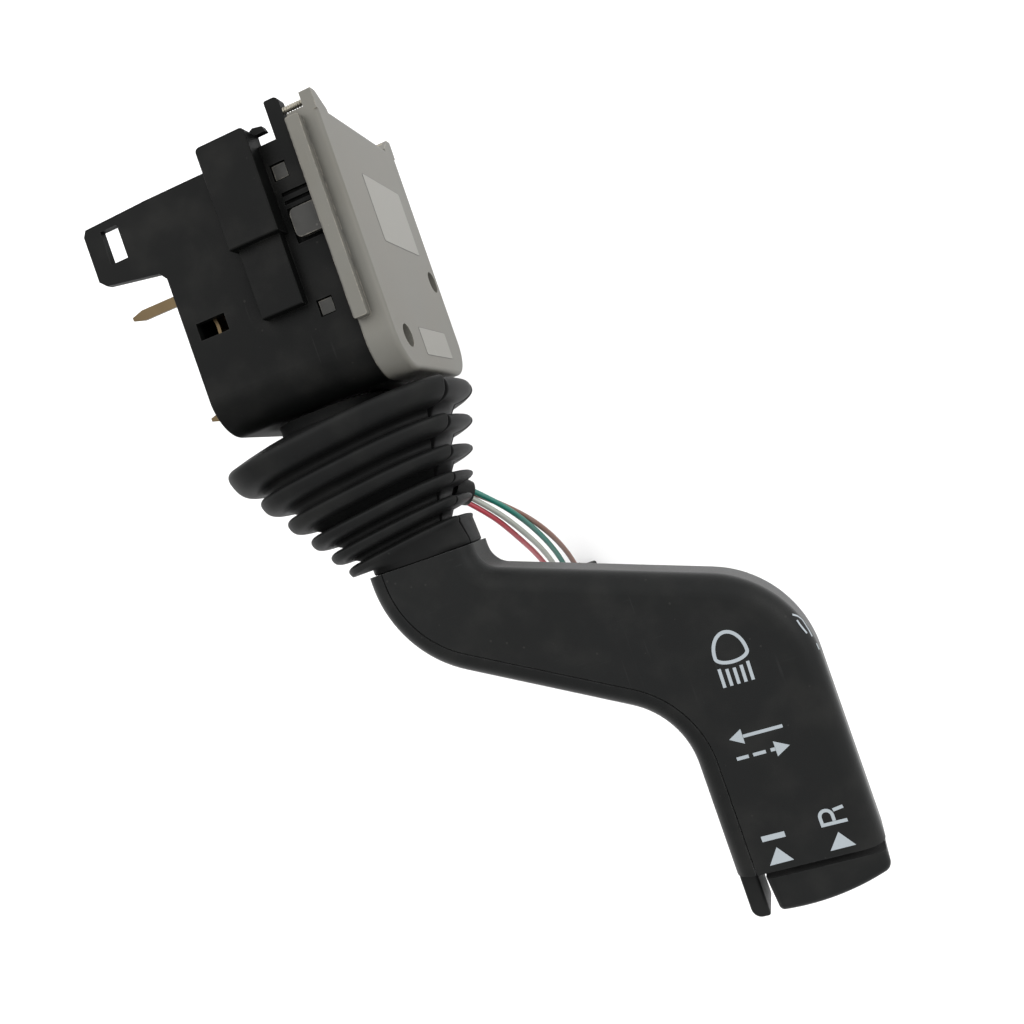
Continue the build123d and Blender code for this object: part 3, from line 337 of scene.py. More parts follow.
def hair_scratches():
    """Mask of fine handling scratches in two directions."""

    def build(tree, coords, inputs):
        along = ramp(tree, noise(tree, coords, 1.1, detail=2.0, stretch=(1.0, 0.04, 1.0)), 0.66, 0.72)
        across = ramp(tree, noise(tree, coords, 1.3, detail=2.0, stretch=(0.05, 1.0, 0.6)), 0.68, 0.74)
        where = ramp(tree, noise(tree, coords, 0.06, detail=2.0), 0.5, 0.7)
        lines = maths(tree, "MULTIPLY", maths(tree, "MAXIMUM", along, across), where)
        return {"Mask": maths(tree, "MULTIPLY", lines, inputs["Amount"])}

    return effect("Hair Scratches", {"Amount": 0.4}, ["Mask"], build)


def painted_crevice_shade():
    """Mask of painted shade: inner corners and grooves, found by ambient occlusion and broken up by cloudy
    noise.
    """

    def build(tree, coords, inputs):
        around = place(tree, "AmbientOcclusion", samples=6)
        join(tree, inputs["Reach"], around.inputs["Distance"])
        closed = ramp(tree, maths(tree, "SUBTRACT", 1.0, around.outputs["AO"]), 0.08, 0.75)
        clouds = maths(tree, "ADD", 0.6, maths(tree, "MULTIPLY", noise(tree, coords, 0.3, detail=4.0), 0.6))
        return {"Mask": maths(tree, "MULTIPLY", maths(tree, "MULTIPLY", closed, clouds), inputs["Amount"])}

    return effect("Crevice Grime", {"Reach": 0.004, "Amount": 0.7}, ["Mask"], build)


def painted_buried_shade():
    """Mask for painted shade on what lies further inside than a level along X."""

    def build(tree, coords, inputs):
        depth = place(tree, "SeparateXYZ")
        join(tree, coords, depth.inputs["Vector"])
        inside = maths(tree, "SUBTRACT", inputs["Level"], depth.outputs["X"])
        return {"Mask": ramp(tree, inside, -0.2 * MM, 0.5 * MM)}

    return effect("Buried Side", {"Level": 0.0}, ["Mask"], build)


def start_finish(name, roughness=0.5, metallic=0.0, specular=0.5, bump=0.0):
    """Start a material with a Principled shader and a Bump node, and return its parts."""
    material = bpy.data.materials.new(name)
    material.use_nodes = True
    tree = material.node_tree
    shade = tree.nodes["Principled BSDF"]
    shade.inputs["Roughness"].default_value = roughness
    shade.inputs["Metallic"].default_value = metallic
    shade.inputs["Specular IOR Level"].default_value = specular
    relief = place(tree, "Bump", Strength=1.0, Distance=bump * MM)
    join(tree, relief.outputs["Normal"], shade.inputs["Normal"])
    return material, tree, shade, relief


DUST = (0.42, 0.4, 0.36)


def moulded(
    name,
    colour,
    pale,
    roughness=0.46,
    specular=0.5,
    grain=0.01,
    rub=0.3,
    dust=0.03,
    drift=0.4,
    scratches=0.2,
    buried=None,
):
    """Moulded plastic: grain, flow marks, rubbed edges, scratches, painted shade in the corners and settled
    dust.

    Inside a buried level along X, if one is given, it is darker: painted shade.
    """
    material, tree, shade, relief = start_finish(name, roughness, specular=specular, bump=grain)
    drifted = use(tree, flow_marks(), Amount=drift)["Drift"]
    rubbed = use(tree, edge_rub(), Amount=rub)["Mask"]
    dusty = use(tree, settled_dust(), Film=dust, Specks=dust * 2)["Mask"]
    marked = use(tree, hair_scratches(), Amount=scratches)["Mask"]
    warmer = tuple(share * part for share, part in zip((0.9, 0.86, 0.8), colour))
    base = blend_colour(tree, drifted, toned(colour, 1.07), warmer)
    # Painted shade: the part inside the buried level is darkened
    if buried is not None:
        inside = use(tree, painted_buried_shade(), Level=buried * MM)["Mask"]
        base = blend_colour(tree, inside, base, toned(colour, 0.17))
    # Painted shade: inner corners and grooves are darkened by ambient occlusion, and made rougher
    crevice_shade = use(tree, painted_crevice_shade(), Amount=0.7)["Mask"]
    base = blend_colour(tree, crevice_shade, base, toned(colour, 0.1))
    base = blend_colour(tree, rubbed, base, pale)
    base = blend_colour(tree, marked, base, pale)
    base = blend_colour(tree, dusty, base, DUST)
    join(tree, base, shade.inputs["Base Color"])
    gloss = maths(tree, "SUBTRACT", roughness + 0.04, maths(tree, "MULTIPLY", drifted, 0.08))
    gloss = maths(tree, "SUBTRACT", gloss, maths(tree, "MULTIPLY", rubbed, 0.1))
    gloss = maths(tree, "ADD", gloss, maths(tree, "MULTIPLY", dusty, 0.3))
    gloss = maths(tree, "ADD", gloss, maths(tree, "MULTIPLY", crevice_shade, 0.5))
    join(tree, gloss, shade.inputs["Roughness"])
    grains = use(tree, mould_grain(), Depth=1.0, Pits=0.5)["Height"]
    join(tree, maths(tree, "SUBTRACT", grains, maths(tree, "MULTIPLY", marked, 0.5)), relief.inputs["Height"])
    return material


def rubber(name, colour, seam=True):
    """Rubber with a dry bloom and rubbed folds, and the mould's seam where the parting attribute is 0.

    Where the attribute is above 0, at the ribs' ends towards +X, the rubber is a little paler: painted light.
    """
    material, tree, shade, relief = start_finish(name, specular=0.12, bump=0.03)
    drifted = use(tree, flow_marks(), Amount=0.8)["Drift"]
    dusty = use(tree, settled_dust(), Film=0.1, Specks=0.15)["Mask"]
    rubbed = use(tree, edge_rub(), Amount=0.25, Radius=0.0006)["Mask"]
    base = blend_colour(tree, drifted, toned(colour, 1.15), toned(colour, 0.8))
    base = blend_colour(tree, rubbed, base, (0.02, 0.02, 0.02))
    base = blend_colour(tree, dusty, base, (0.05, 0.05, 0.045))
    height = use(tree, mould_grain(), Depth=0.8, Pits=0.2)["Height"]
    gloss = maths(tree, "ADD", 0.5, maths(tree, "MULTIPLY", drifted, 0.12))
    if seam:
        parting = place(tree, "Attribute", attribute_name="parting").outputs["Fac"]
        line = ramp(tree, maths(tree, "ABSOLUTE", parting, 0.0), 0.9, 0.4)
        # Painted light: the ribs' ends towards +X are made paler
        beyond = ramp(tree, parting, 0.0, 0.6)
        base = blend_colour(tree, maths(tree, "MULTIPLY", beyond, 0.3), base, (0.02, 0.02, 0.021))
        base = blend_colour(tree, maths(tree, "MULTIPLY", line, 0.9), base, (0.0005, 0.0005, 0.0005))
        height = maths(tree, "SUBTRACT", height, line)
        gloss = maths(tree, "ADD", gloss, maths(tree, "MULTIPLY", line, 0.4))
    join(tree, base, shade.inputs["Base Color"])
    join(tree, gloss, shade.inputs["Roughness"])
    join(tree, height, relief.inputs["Height"])
    return material


def metal(name, colour, tarnish, roughness):
    """Metal with fine drawn grain, tarnish in clouds and brighter rubbed edges."""
    material, tree, shade, relief = start_finish(name, roughness, metallic=1.0, bump=0.02)
    drifted = use(tree, flow_marks(), Amount=0.5)["Drift"]
    rubbed = use(tree, edge_rub(), Amount=0.6, Radius=0.0002)["Mask"]
    marked = use(tree, hair_scratches(), Amount=0.5)["Mask"]
    base = blend_colour(tree, drifted, colour, tarnish)
    base = blend_colour(tree, rubbed, base, toned(colour, 1.4))
    join(tree, base, shade.inputs["Base Color"])
    gloss = maths(tree, "ADD", roughness, maths(tree, "MULTIPLY", drifted, 0.2))
    join(tree, maths(tree, "ADD", gloss, maths(tree, "MULTIPLY", marked, 0.1)), shade.inputs["Roughness"])
    grains = use(tree, mould_grain(), Depth=0.5, Pits=0.1)["Height"]
    join(tree, maths(tree, "SUBTRACT", grains, marked), relief.inputs["Height"])
    return material


def insulation(name, colour):
    """Soft insulation of a lead: slight drift of colour and a faint drawn surface."""
    material, tree, shade, relief = start_finish(name, 0.38, bump=0.02)
    drifted = use(tree, flow_marks(), Amount=0.8)["Drift"]
    dusty = use(tree, settled_dust(), Film=0.12, Specks=0.1)["Mask"]
    base = blend_colour(tree, drifted, toned(colour, 1.1), toned(colour, 0.78))
    base = blend_colour(tree, dusty, base, (0.4, 0.38, 0.34))
    join(tree, base, shade.inputs["Base Color"])
    join(tree, use(tree, mould_grain(), Depth=0.4, Pits=0.1)["Height"], relief.inputs["Height"])
    return material


def printed(name, colour):
    """Printing ink: slightly uneven cover with worn pinholes."""
    material, tree, shade, relief = start_finish(name, bump=0.01)
    drifted = use(tree, flow_marks(), Amount=0.6)["Drift"]
    coords = place(tree, "TexCoord").outputs["Object"]
    holes = ramp(tree, noise(tree, coords, 2.6, detail=3.0), 0.68, 0.76)
    base = blend_colour(tree, drifted, colour, toned(colour, 0.85))
    base = blend_colour(tree, maths(tree, "MULTIPLY", holes, 0.35), base, (0.05, 0.05, 0.05))
    join(tree, base, shade.inputs["Base Color"])
    join(tree, use(tree, mould_grain(), Depth=0.5, Pits=0.2)["Height"], relief.inputs["Height"])
    return material


# Mesh helpers


def coat(piece, material):
    """Give a piece its only material."""
    piece.data.materials.clear()
    piece.data.materials.append(material)


def coat_nodes(material, *names):
    """Give carried-over CAD nodes their material."""
    for name in names:
        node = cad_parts[name]
        node.data.materials.clear()
        node.data.materials.append(material)


def mesh_piece(name, points, faces, smooth=True):
    """Make an object from millimetre points and faces, at the origin, with its place in its mesh."""
    mesh = bpy.data.meshes.new(name)
    mesh.from_pydata((np.asarray(points, float) * MM).tolist(), [], [list(map(int, face)) for face in faces])
    mesh.validate()
    mesh.polygons.foreach_set("use_smooth", np.full(len(mesh.polygons), smooth))
    mesh.update()
    piece = bpy.data.objects.new(name, mesh)
    bpy.context.scene.collection.objects.link(piece)
    return piece


def grid_faces(rows, columns, wrap_rows=False):
    """Give the quads of a grid stored row by row: its columns run round, and its rows too if asked."""
    low, left = np.meshgrid(np.arange(rows if wrap_rows else rows - 1), np.arange(columns), indexing="ij")
    high, right = (low + 1) % rows, (left + 1) % columns
    corners = (low * columns + left, low * columns + right, high * columns + right, high * columns + left)
    return np.stack([corner.ravel() for corner in corners], axis=1)


def face_outwards(piece):
    """Merge doubles and turn every face of a closed piece outwards."""
    shell = bmesh.new()
    shell.from_mesh(piece.data)
    bmesh.ops.remove_doubles(shell, verts=shell.verts, dist=1e-7)
    bmesh.ops.recalc_face_normals(shell, faces=shell.faces)
    shell.to_mesh(piece.data)
    shell.free()


def prism(outline, low, high):
    """Raise a flat outline into a closed slab: the same points at two levels, joined around."""
    outline = np.asarray(outline, float)
    count = len(outline)
    bottom = np.column_stack([outline, np.full(count, low)])
    top = np.column_stack([outline, np.full(count, high)])
    faces = [list(range(count - 1, -1, -1)), list(range(count, 2 * count))]
    faces += [[k, (k + 1) % count, (k + 1) % count + count, k + count] for k in range(count)]
    return np.vstack([bottom, top]), faces


def stroke(path, width, closed=False):
    """Give a pen stroke's two sides: the path moved half its width along its normals, further at bends."""
    path = np.asarray(path, float)
    if closed:
        ahead = np.roll(path, -1, axis=0) - path
        behind = path - np.roll(path, 1, axis=0)
    else:
        ahead = np.diff(path, axis=0, append=path[-1:] * 2 - path[-2:-1])
        behind = np.diff(path, axis=0, prepend=path[:1] * 2 - path[1:2])
    ahead /= np.linalg.norm(ahead, axis=1, keepdims=True)
    behind /= np.linalg.norm(behind, axis=1, keepdims=True)
    along = ahead + behind
    along /= np.linalg.norm(along, axis=1, keepdims=True)
    mitre = 1 / np.maximum(np.sum(along * ahead, axis=1, keepdims=True), 0.4)
    normal = np.column_stack([-along[:, 1], along[:, 0]]) * mitre * width / 2
    return path + normal, path - normal


def stroke_slabs(path, width, low, high, closed=False):
    """Make a closed slab of a stroke: four corners at each point of its path, joined in a ring."""
    left, right = stroke(path, width, closed)
    count = len(left)
    corners = ((left, low), (right, low), (right, high), (left, high))
    ring = np.stack([np.column_stack([side, np.full(count, level)]) for side, level in corners], axis=1)
    faces = grid_faces(count, 4, wrap_rows=closed).tolist()
    if not closed:
        faces += [[3, 2, 1, 0], [4 * count - 4, 4 * count - 3, 4 * count - 2, 4 * count - 1]]
    return ring.reshape(-1, 3), faces


def gather(name, parts, smooth=False):
    """Join several lists of points and faces into one piece."""
    points, faces, total = [], [], 0
    for part_points, part_faces in parts:
        points.append(part_points)
        faces += [[index + total for index in face] for face in part_faces]
        total += len(part_points)
    piece = mesh_piece(name, np.vstack(points), faces, smooth)
    face_outwards(piece)
    return piece


# Bellows: a rounded rectangle carried down a leaning axis, its size waving between crests and valleys

RIB_COUNT = 6
FIRST_CREST = (-21.6, -21.6)
FIRST_HALF = (32.0, 25.0)
FIRST_PITCH = 7.8
RIB_TAPER = 0.88
FIRST_FILL, RIB_FILL = 0.42, 0.33
SIDE_DEPTH = 0.85
VALLEY_SHIFT = 0.9
LAST_FOLD = 0.55
LAST_PLACE = 0.3
LEAN = np.radians(9.5)
FIRST_TILT = np.radians(5.4)
TILT_GAIN = np.radians(0.5)
NECK = (-22.0, 15.0, 17.5)
NECK_LEVELS = (-14.35, -16.9)
SHOULDER_SHARES = (0.04, 0.35, 0.7, 0.93)
CUFF = (-13.5, 13.9, 10.9)
CUFF_LEVELS = (-54.9, -56.1, -56.4)
CUFF_EDGE = 0.5
FIRST_PLACE = -0.46
ROWS_PER_RIB = 22
PARTING_ANGLE = np.radians(20)
PARTING_STEPS = np.radians((-3.0, -2.0, -1.0, 0.0, 1.0, 2.0, 3.0))
PARTING_DEPTH = 0.026
PARTING_SCALE = 20
SECTION_POWER = 2.7
WANDER = 0.004

# How a rib's form changes about the axis, in degrees from +X towards +Z: its ends are thinned by a
# share and take on a rounder, shallower lobe

END_ANGLES = (-150, -110, -70, -20, 17, 22, 120, 155)
END_THINNED = (-0.24, 0.0, 0.2, 0.2, 0.1, 0.0, 0.0, -0.24)
END_ROUNDED = (0.6, 0.0, 1.0, 1.0, 1.0, 0.0, 0.0, 0.6)
END_DEPTH = 0.86
END_FULLNESS = 2.5
END_LEVEL = 0.75


def bellows_angles():
    """Give the columns' angles about the axis, closer together at the two parting lines."""
    even = np.arange(0, 360, 2.5)
    angle = (np.radians(even) + np.pi) % (2 * np.pi) - np.pi
    clear = angle[np.abs(np.abs(angle) - PARTING_ANGLE) > 1.5 * PARTING_STEPS[-1]]
    return np.sort(np.concatenate([clear, PARTING_ANGLE + PARTING_STEPS, -PARTING_ANGLE - PARTING_STEPS]))


def bellows_rows(depth, fullness, inset):
    """Give each row's centre, half sizes, tilt, rib, distance from the rib's crest and end gain.

    A rib is a superellipse lobe that fills a share of its pitch and stands a depth above its
    valleys, and pitch and size shrink by the same share from rib to rib. The inner skin is inset by
    the wall along the axis as well as inwards. A neck and its shoulder come first, and a cuff last.
    The end gain is how much further out a row lies at a rib's rounder ends, where its lobe is
    shallower and it tapers less.
    """
    across = 0.5 * np.sin(np.linspace(-np.pi / 2, np.pi / 2, ROWS_PER_RIB))
    rib = np.repeat(np.arange(RIB_COUNT), ROWS_PER_RIB)
    spot = np.tile(across, RIB_COUNT)
    lobe, end_lobe = (
        np.maximum(1 - np.abs(2 * spot) ** power, 0.0) ** (1 / power) for power in (fullness, END_FULLNESS)
    )
    standing = depth * np.where((rib == RIB_COUNT - 1) & (spot > 0), LAST_FOLD, 1.0)
    fold = standing * (1 - lobe)
    pitch = FIRST_PITCH * RIB_TAPER**rib
    fill = np.where(rib == 0, FIRST_FILL, RIB_FILL)
    along = 2 * spot * (fill - inset / pitch)
    travelled = FIRST_PITCH * (1 - RIB_TAPER**rib) / (1 - RIB_TAPER) + pitch * along
    share = RIB_TAPER ** (rib + along)
    levelled = END_LEVEL * FIRST_HALF[0] * (RIB_TAPER**rib - share)
    body = np.column_stack(
        [
            FIRST_CREST[0] + travelled * np.sin(LEAN) - VALLEY_SHIFT * (1 - lobe),
            FIRST_CREST[1] - travelled * np.cos(LEAN),
            FIRST_HALF[0] * share - fold - inset,
            FIRST_HALF[1] * share - fold * SIDE_DEPTH - inset,
            FIRST_TILT + TILT_GAIN * (rib + along),
            rib,
            pitch * along,
            fold - END_DEPTH * standing * (1 - end_lobe) + levelled,
        ]
    )[(rib + spot > FIRST_PLACE) & (rib + spot < RIB_COUNT - 1 + LAST_PLACE)]
    (x, *half), (top, bottom) = NECK, NECK_LEVELS
    neck = np.array([[x, y, half[0] - inset, half[1] - inset, 0, -1, 0, 0] for y in (top, bottom - inset)])
    shoulder = neck[-1] + np.array(SHOULDER_SHARES)[:, None] * (body[0] - neck[-1])
    x, *half = CUFF
    cuff = np.array([[x, y, half[0] - inset, half[1] - inset, 0, RIB_COUNT, 0, 0] for y in CUFF_LEVELS])
    cuff[-1, 2:4] -= CUFF_EDGE * (1 if inset == 0 else -1) / 2
    return np.vstack([neck, shoulder, body, cuff])


def bellows_skin(rows, angle):
    """Carry a superellipse, a rounded rectangle, over the rows, and sink it at the parting lines.

    Between these lines, round the +X end and the far side beyond it, the ribs are thinner, rounder
    and shallower. Round the -X end they are fatter and partly rounder. A small sine wave about the
    axis keeps the folds from being exactly alike.
    """
    power = 2 / SECTION_POWER
    flat_x = np.sign(np.cos(angle)) * np.abs(np.cos(angle)) ** power
    flat_z = np.sign(np.sin(angle)) * np.abs(np.sin(angle)) ** power
    centre_x, centre_y, half_x, half_z, tilt, _, from_crest, end_gain = rows.T[:, :, None]
    thinned = from_crest * np.interp(np.degrees(angle), END_ANGLES, END_THINNED)
    end_gain = end_gain * np.interp(np.degrees(angle), END_ANGLES, END_ROUNDED)
    centre_x, centre_y = centre_x - thinned * np.sin(LEAN), centre_y + thinned * np.cos(LEAN)
    wander = WANDER * np.sin(3 * angle + 0.9 * np.arange(len(rows))[:, None] / ROWS_PER_RIB)
    beside = np.abs(angle) - PARTING_ANGLE
    seam = 1 - PARTING_DEPTH * np.maximum(1 - (beside / PARTING_STEPS[-2]) ** 2, 0.5 * (beside < 0))
    across = (half_x + end_gain) * flat_x * (1 + wander) * seam
    height = (half_z + end_gain * SIDE_DEPTH) * flat_z * (1 + wander) * seam
    return np.stack([centre_x + across * np.cos(tilt), centre_y + across * np.sin(tilt), height], axis=2)


def bellows_piece(name, outer, inner, angle):
    """Make a stretch of the bellows: outer skin down, inner skin back up, closed at both ends.

    Its parting attribute is the scaled angle to the parting lines, above 0 towards +X.
    """
    loop = np.vstack([outer, inner[::-1]])
    rows, columns = loop.shape[:2]
    piece = mesh_piece(name, loop.reshape(-1, 3), grid_faces(rows, columns, wrap_rows=True))
    attribute = piece.data.attributes.new("parting", "FLOAT", "POINT")
    beside = (PARTING_ANGLE - np.abs(angle)) * PARTING_SCALE
    attribute.data.foreach_set("value", np.tile(beside, rows).astype(np.float32))
    face_outwards(piece)
    return piece


class STALK_OT_bellows(bpy.types.Operator):
    """Make the rubber bellows in two stretches."""

    bl_idname = "stalk.bellows"
    bl_label = "Bellows"

    def execute(self, context):
        sizes, colours = context.scene.stalk_sizes, context.scene.stalk_colours
        rows = bellows_rows(sizes.bellows_depth, sizes.bellows_round, 0.0)
        angle = bellows_angles()
        outer = bellows_skin(rows, angle)
        inner_rows = bellows_rows(sizes.bellows_depth, sizes.bellows_round, sizes.bellows_wall)
        inner = bellows_skin(inner_rows, angle)
        split = int(np.searchsorted(rows[:, 5], RIB_COUNT // 2))
        upper = bellows_piece("bellows_upper", outer[: split + 1], inner[: split + 1], angle)
        lower = bellows_piece("bellows_lower", outer[split:], inner[split:], angle)
        material = rubber("Bellows rubber", tuple(colours.rubber))
        for piece in (upper, lower):
            coat(piece, material)
            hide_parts("boot")
        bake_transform(upper)
        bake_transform(lower)
        return {"FINISHED"}


# Leads, which hang from the bellows' sleeve to their connector

LEAD_ROUTES = {
    "lead_green": (
        (-3.2, -42.0, -14.6),
        (2.4, -47.8, -18.0),
        (7.0, -56.0, -26.0),
        (8.4, -65.5, -40.0),
        (7.6, -74.5, -52.0),
        (5.7, -79.5, -60.0),
        (5.7, -79.5, -66.0),
    ),
    "lead_white": (
        (-4.0, -43.6, -14.8),
        (1.2, -49.6, -17.8),
        (5.0, -57.5, -25.0),
        (6.2, -66.0, -38.5),
        (5.2, -74.6, -51.5),
        (3.3, -79.5, -60.2),
        (3.3, -79.5, -66.0),
    ),
    "lead_red": (
        (-4.8, -45.2, -15.2),
        (0.2, -51.2, -18.8),
        (2.8, -58.6, -26.5),
        (3.6, -66.8, -40.5),
        (2.8, -74.8, -53.0),
        (0.9, -79.5, -60.4),
        (0.9, -79.5, -66.0),
    ),
    "lead_brown": (
        (-3.0, -43.6, -17.2),
        (3.2, -49.6, -22.4),
        (8.8, -57.6, -30.6),
        (10.8, -66.8, -43.0),
        (10.2, -75.4, -54.0),
        (8.1, -79.5, -60.6),
        (8.1, -79.5, -66.0),
    ),
}


class STALK_OT_leads(bpy.types.Operator):
    """Hang the four leads as smooth curves between the sleeve and the connector."""

    bl_idname = "stalk.leads"
    bl_label = "Leads"

    def execute(self, context):
        sizes, colours = context.scene.stalk_sizes, context.scene.stalk_colours
        for name, route in LEAD_ROUTES.items():
            curve = bpy.data.curves.new(name + "_line", "CURVE")
            curve.dimensions = "3D"
            line = curve.splines.new("NURBS")
            line.points.add(len(route) - 1)
            points = np.column_stack([np.array(route) * MM, np.ones(len(route))])
            line.points.foreach_set("co", points.ravel())
            line.order_u = 3
            line.use_endpoint_u = True
            line.resolution_u = 16
            curve.bevel_depth = sizes.lead_diameter / 2 * MM
            curve.bevel_resolution = 6
            curve.use_fill_caps = True
            lead = bpy.data.objects.new(name + "_wire", curve)
            context.scene.collection.objects.link(lead)
            colour = tuple(getattr(colours, name))
            coat(lead, insulation(name + " insulation", colour))
            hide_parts(name)
            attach(lead, "lever")
        return {"FINISHED"}


# Signs printed on the lever's flat face, and strokes on the shoulder's rounded edge

SHOULDER = (43.2, -106.27, 27.0)
RIM_RADIUS = 5.0
RIM_PEN = 0.5
RIM_STROKES = (
    ((11.8, 2.9), (10.6, 1.7), (9.3, 1.0), (8.2, 1.3), (6.6, 1.5), (5.0, 1.8)),
    ((10.2, 3.0), (9.2, 3.2), (8.0, 3.2), (6.4, 3.0)),
    ((3.1, 1.5), (1.6, 1.5)),
)
LAMP_CENTRE = (51.2, -99.4)
LAMP_HALF_WIDTH = 3.75
LAMP_ROUND_END, LAMP_FLAT_END = 5.3, 1.7
LAMP_PEN = 0.82
BEAM_COUNT = 5
BEAM_TOP, TOP_PITCH = (47.5, -102.5), 1.68
BEAM_FOOT, FOOT_PITCH = (47.42, -106.35), 1.67
BEAM_SAG = 0.15
BEAM_PEN = 0.76
PEN = 0.78
DASH_PEN = 0.8
BAR_PEN = 1.3
DASH_LEVEL = -122.85
DASH_SPANS = ((44.6, 47.4), (48.45, 51.42), (52.55, 53.6))
SIGN_HEADS = (
    ((44.4, -118.1), (47.6, -116.35), (47.55, -119.9)),
    ((57.0, -122.85), (53.65, -121.05), (53.65, -124.65)),
    ((46.55, -144.65), (43.75, -148.45), (49.4, -148.35)),
    ((60.8, -144.65), (57.8, -148.45), (63.65, -148.4)),
)


def arc_points(centre, radius, start, end, count=12):
    """Points of an arc, with its angles in degrees."""
    angle = np.radians(np.linspace(start, end, count))
    return np.column_stack([centre[0] + radius * np.cos(angle), centre[1] + radius * np.sin(angle)])


def rounded_path(corners, radius, count=6):
    """Round a closed path's corners: a quadratic curve between points a radius before and after each."""
    corners = np.asarray(corners, float)
    before = np.roll(corners, 1, axis=0) - corners
    after = np.roll(corners, -1, axis=0) - corners
    before /= np.linalg.norm(before, axis=1, keepdims=True)
    after /= np.linalg.norm(after, axis=1, keepdims=True)
    along = np.linspace(0, 1, count)[None, :, None]
    start, end = (corners + before * radius)[:, None], (corners + after * radius)[:, None]
    bend = 2 * along * (1 - along) * corners[:, None]
    return ((1 - along) ** 2 * start + bend + along**2 * end).reshape(-1, 2)


def denser(path, step=0.3):
    """Give a path more points, a step apart, on the same straight runs."""
    path = np.asarray(path, float)
    travelled = np.insert(np.cumsum(np.linalg.norm(np.diff(path, axis=0), axis=1)), 0, 0.0)
    places = np.linspace(0, travelled[-1], int(travelled[-1] / step) + 2)
    return np.column_stack([np.interp(places, travelled, column) for column in path.T])


def on_rim(points):
    """Lay points on the shoulder's rounded edge, by distance around it, across it and height on it."""
    around, across = points[:, 0] / SHOULDER[2], points[:, 1] / RIM_RADIUS
    lift, turn = RIM_RADIUS + points[:, 2], np.maximum(across, 0)
    reach = SHOULDER[2] - RIM_RADIUS + lift * np.cos(turn)
    level = FACE_LEVEL - RIM_RADIUS + lift * np.sin(turn) + RIM_RADIUS * np.minimum(across, 0)
    x, y = SHOULDER[0] + reach * np.cos(around), SHOULDER[1] + reach * np.sin(around)
    return np.column_stack([x, y, level])


def lever_signs():
    """Give the signs' strokes, each a path on the face, a width and whether it closes.

    The headlamp is two half ellipses of unlike length, over beams whose tops follow a parabola.
    """
    turn = np.linspace(0, 2 * np.pi, 48, endpoint=False)
    rise = np.where(np.sin(turn) > 0, LAMP_ROUND_END, LAMP_FLAT_END) * np.sin(turn)
    lamp = np.column_stack([LAMP_CENTRE[0] + LAMP_HALF_WIDTH * np.cos(turn), LAMP_CENTRE[1] + rise])
    strokes = [(lamp, LAMP_PEN, True)]
    for beam in range(BEAM_COUNT):
        top = (BEAM_TOP[0] + TOP_PITCH * beam, BEAM_TOP[1] + BEAM_SAG * (beam - BEAM_COUNT // 2) ** 2)
        foot = (BEAM_FOOT[0] + FOOT_PITCH * beam, BEAM_FOOT[1])
        strokes.append(([top, foot], BEAM_PEN, False))
    strokes.append(([(56.85, -118.2), (47.65, -118.15)], PEN, False))
    strokes += [([(start, DASH_LEVEL), (end, DASH_LEVEL)], DASH_PEN, False) for start, end in DASH_SPANS]
    strokes.append(([(43.9, -142.13), (49.35, -142.13)], BAR_PEN, False))
    bowl = arc_points((59.4, -140.65), 1.42, 180, 0)
    strokes.append((np.vstack([[(63.65, -142.45), (58.0, -142.42)], bowl, [(60.82, -141.97)]]), PEN, False))
    strokes.append(([(61.26, -139.55), (63.65, -139.22)], PEN, False))
    return strokes


class STALK_OT_signs(bpy.types.Operator):
    """Print the headlamp, the arrows and the rocker's marks on the lever."""

    bl_idname = "stalk.signs"
    bl_label = "Printed signs"

    def execute(self, context):
        sizes, colours = context.scene.stalk_sizes, context.scene.stalk_colours
        low, high = FACE_LEVEL - SEATED, FACE_LEVEL + sizes.ink_height
        parts = [stroke_slabs(path, width, low, high, closed) for path, width, closed in lever_signs()]
        parts += [prism(head, low, high) for head in SIGN_HEADS]
        for path in RIM_STROKES:
            points, faces = stroke_slabs(denser(path), RIM_PEN, -SEATED, sizes.ink_height)
            parts.append((on_rim(points), faces))
        signs = gather("printed_signs", parts)
        coat(signs, printed("Printing ink", tuple(colours.ink)))
        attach(signs, "lever")
        return {"FINISHED"}


# Label patches as lowest and highest Y, then lowest and highest Z

LABELS = ((18.9, 35.9, -16.7, 9.0), (-9.8, -2.9, -14.3, 6.6))
LABEL_CORNER = 0.7
LABEL_HEIGHT = 0.06
LABEL_EDGE_WIDTH, LABEL_EDGE_HEIGHT = 0.35, 0.03


class STALK_OT_labels(bpy.types.Operator):
    """Lay the two bare label patches on the cover."""

    bl_idname = "stalk.labels"
    bl_label = "Bare label patches"

    def execute(self, context):
        patches, edges = [], []
        low = COVER_FACE - SEATED
        for low_y, high_y, low_z, high_z in LABELS:
            corners = [(low_y, low_z), (high_y, low_z), (high_y, high_z), (low_y, high_z)]
            outline = rounded_path(corners, LABEL_CORNER)
            points, faces = prism(outline, low, COVER_FACE + LABEL_HEIGHT)
            patches.append((points[:, [2, 0, 1]], faces))
            high = COVER_FACE + LABEL_EDGE_HEIGHT
            points, faces = stroke_slabs(outline, LABEL_EDGE_WIDTH, low, high, closed=True)
            edges.append((points[:, [2, 0, 1]], faces))
        labels, rims = gather("bare_labels", patches), gather("label_edges", edges)
        cover = tuple(context.scene.stalk_colours.cover)
        film = moulded(
            "Label film",
            toned(cover, 1.3),
            (0.28, 0.28, 0.26),
            roughness=0.42,
            grain=0.004,
            rub=0.2,
            drift=0.3,
        )
        coat(labels, film)
        rim = moulded(
            "Label edge",
            toned(cover, 0.4),
            cover,
            roughness=0.5,
            grain=0.004,
            rub=0.1,
            dust=0.02,
            drift=0.3,
        )
        coat(rims, rim)
        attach(labels, "switch_block")
        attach(rims, "switch_block")
        return {"FINISHED"}


# A thread's core as a share of its outer radius, and the mesh's fineness

THREAD_CORE = 0.72
ROWS_PER_TURN = 8
THREAD_COLUMNS = 20


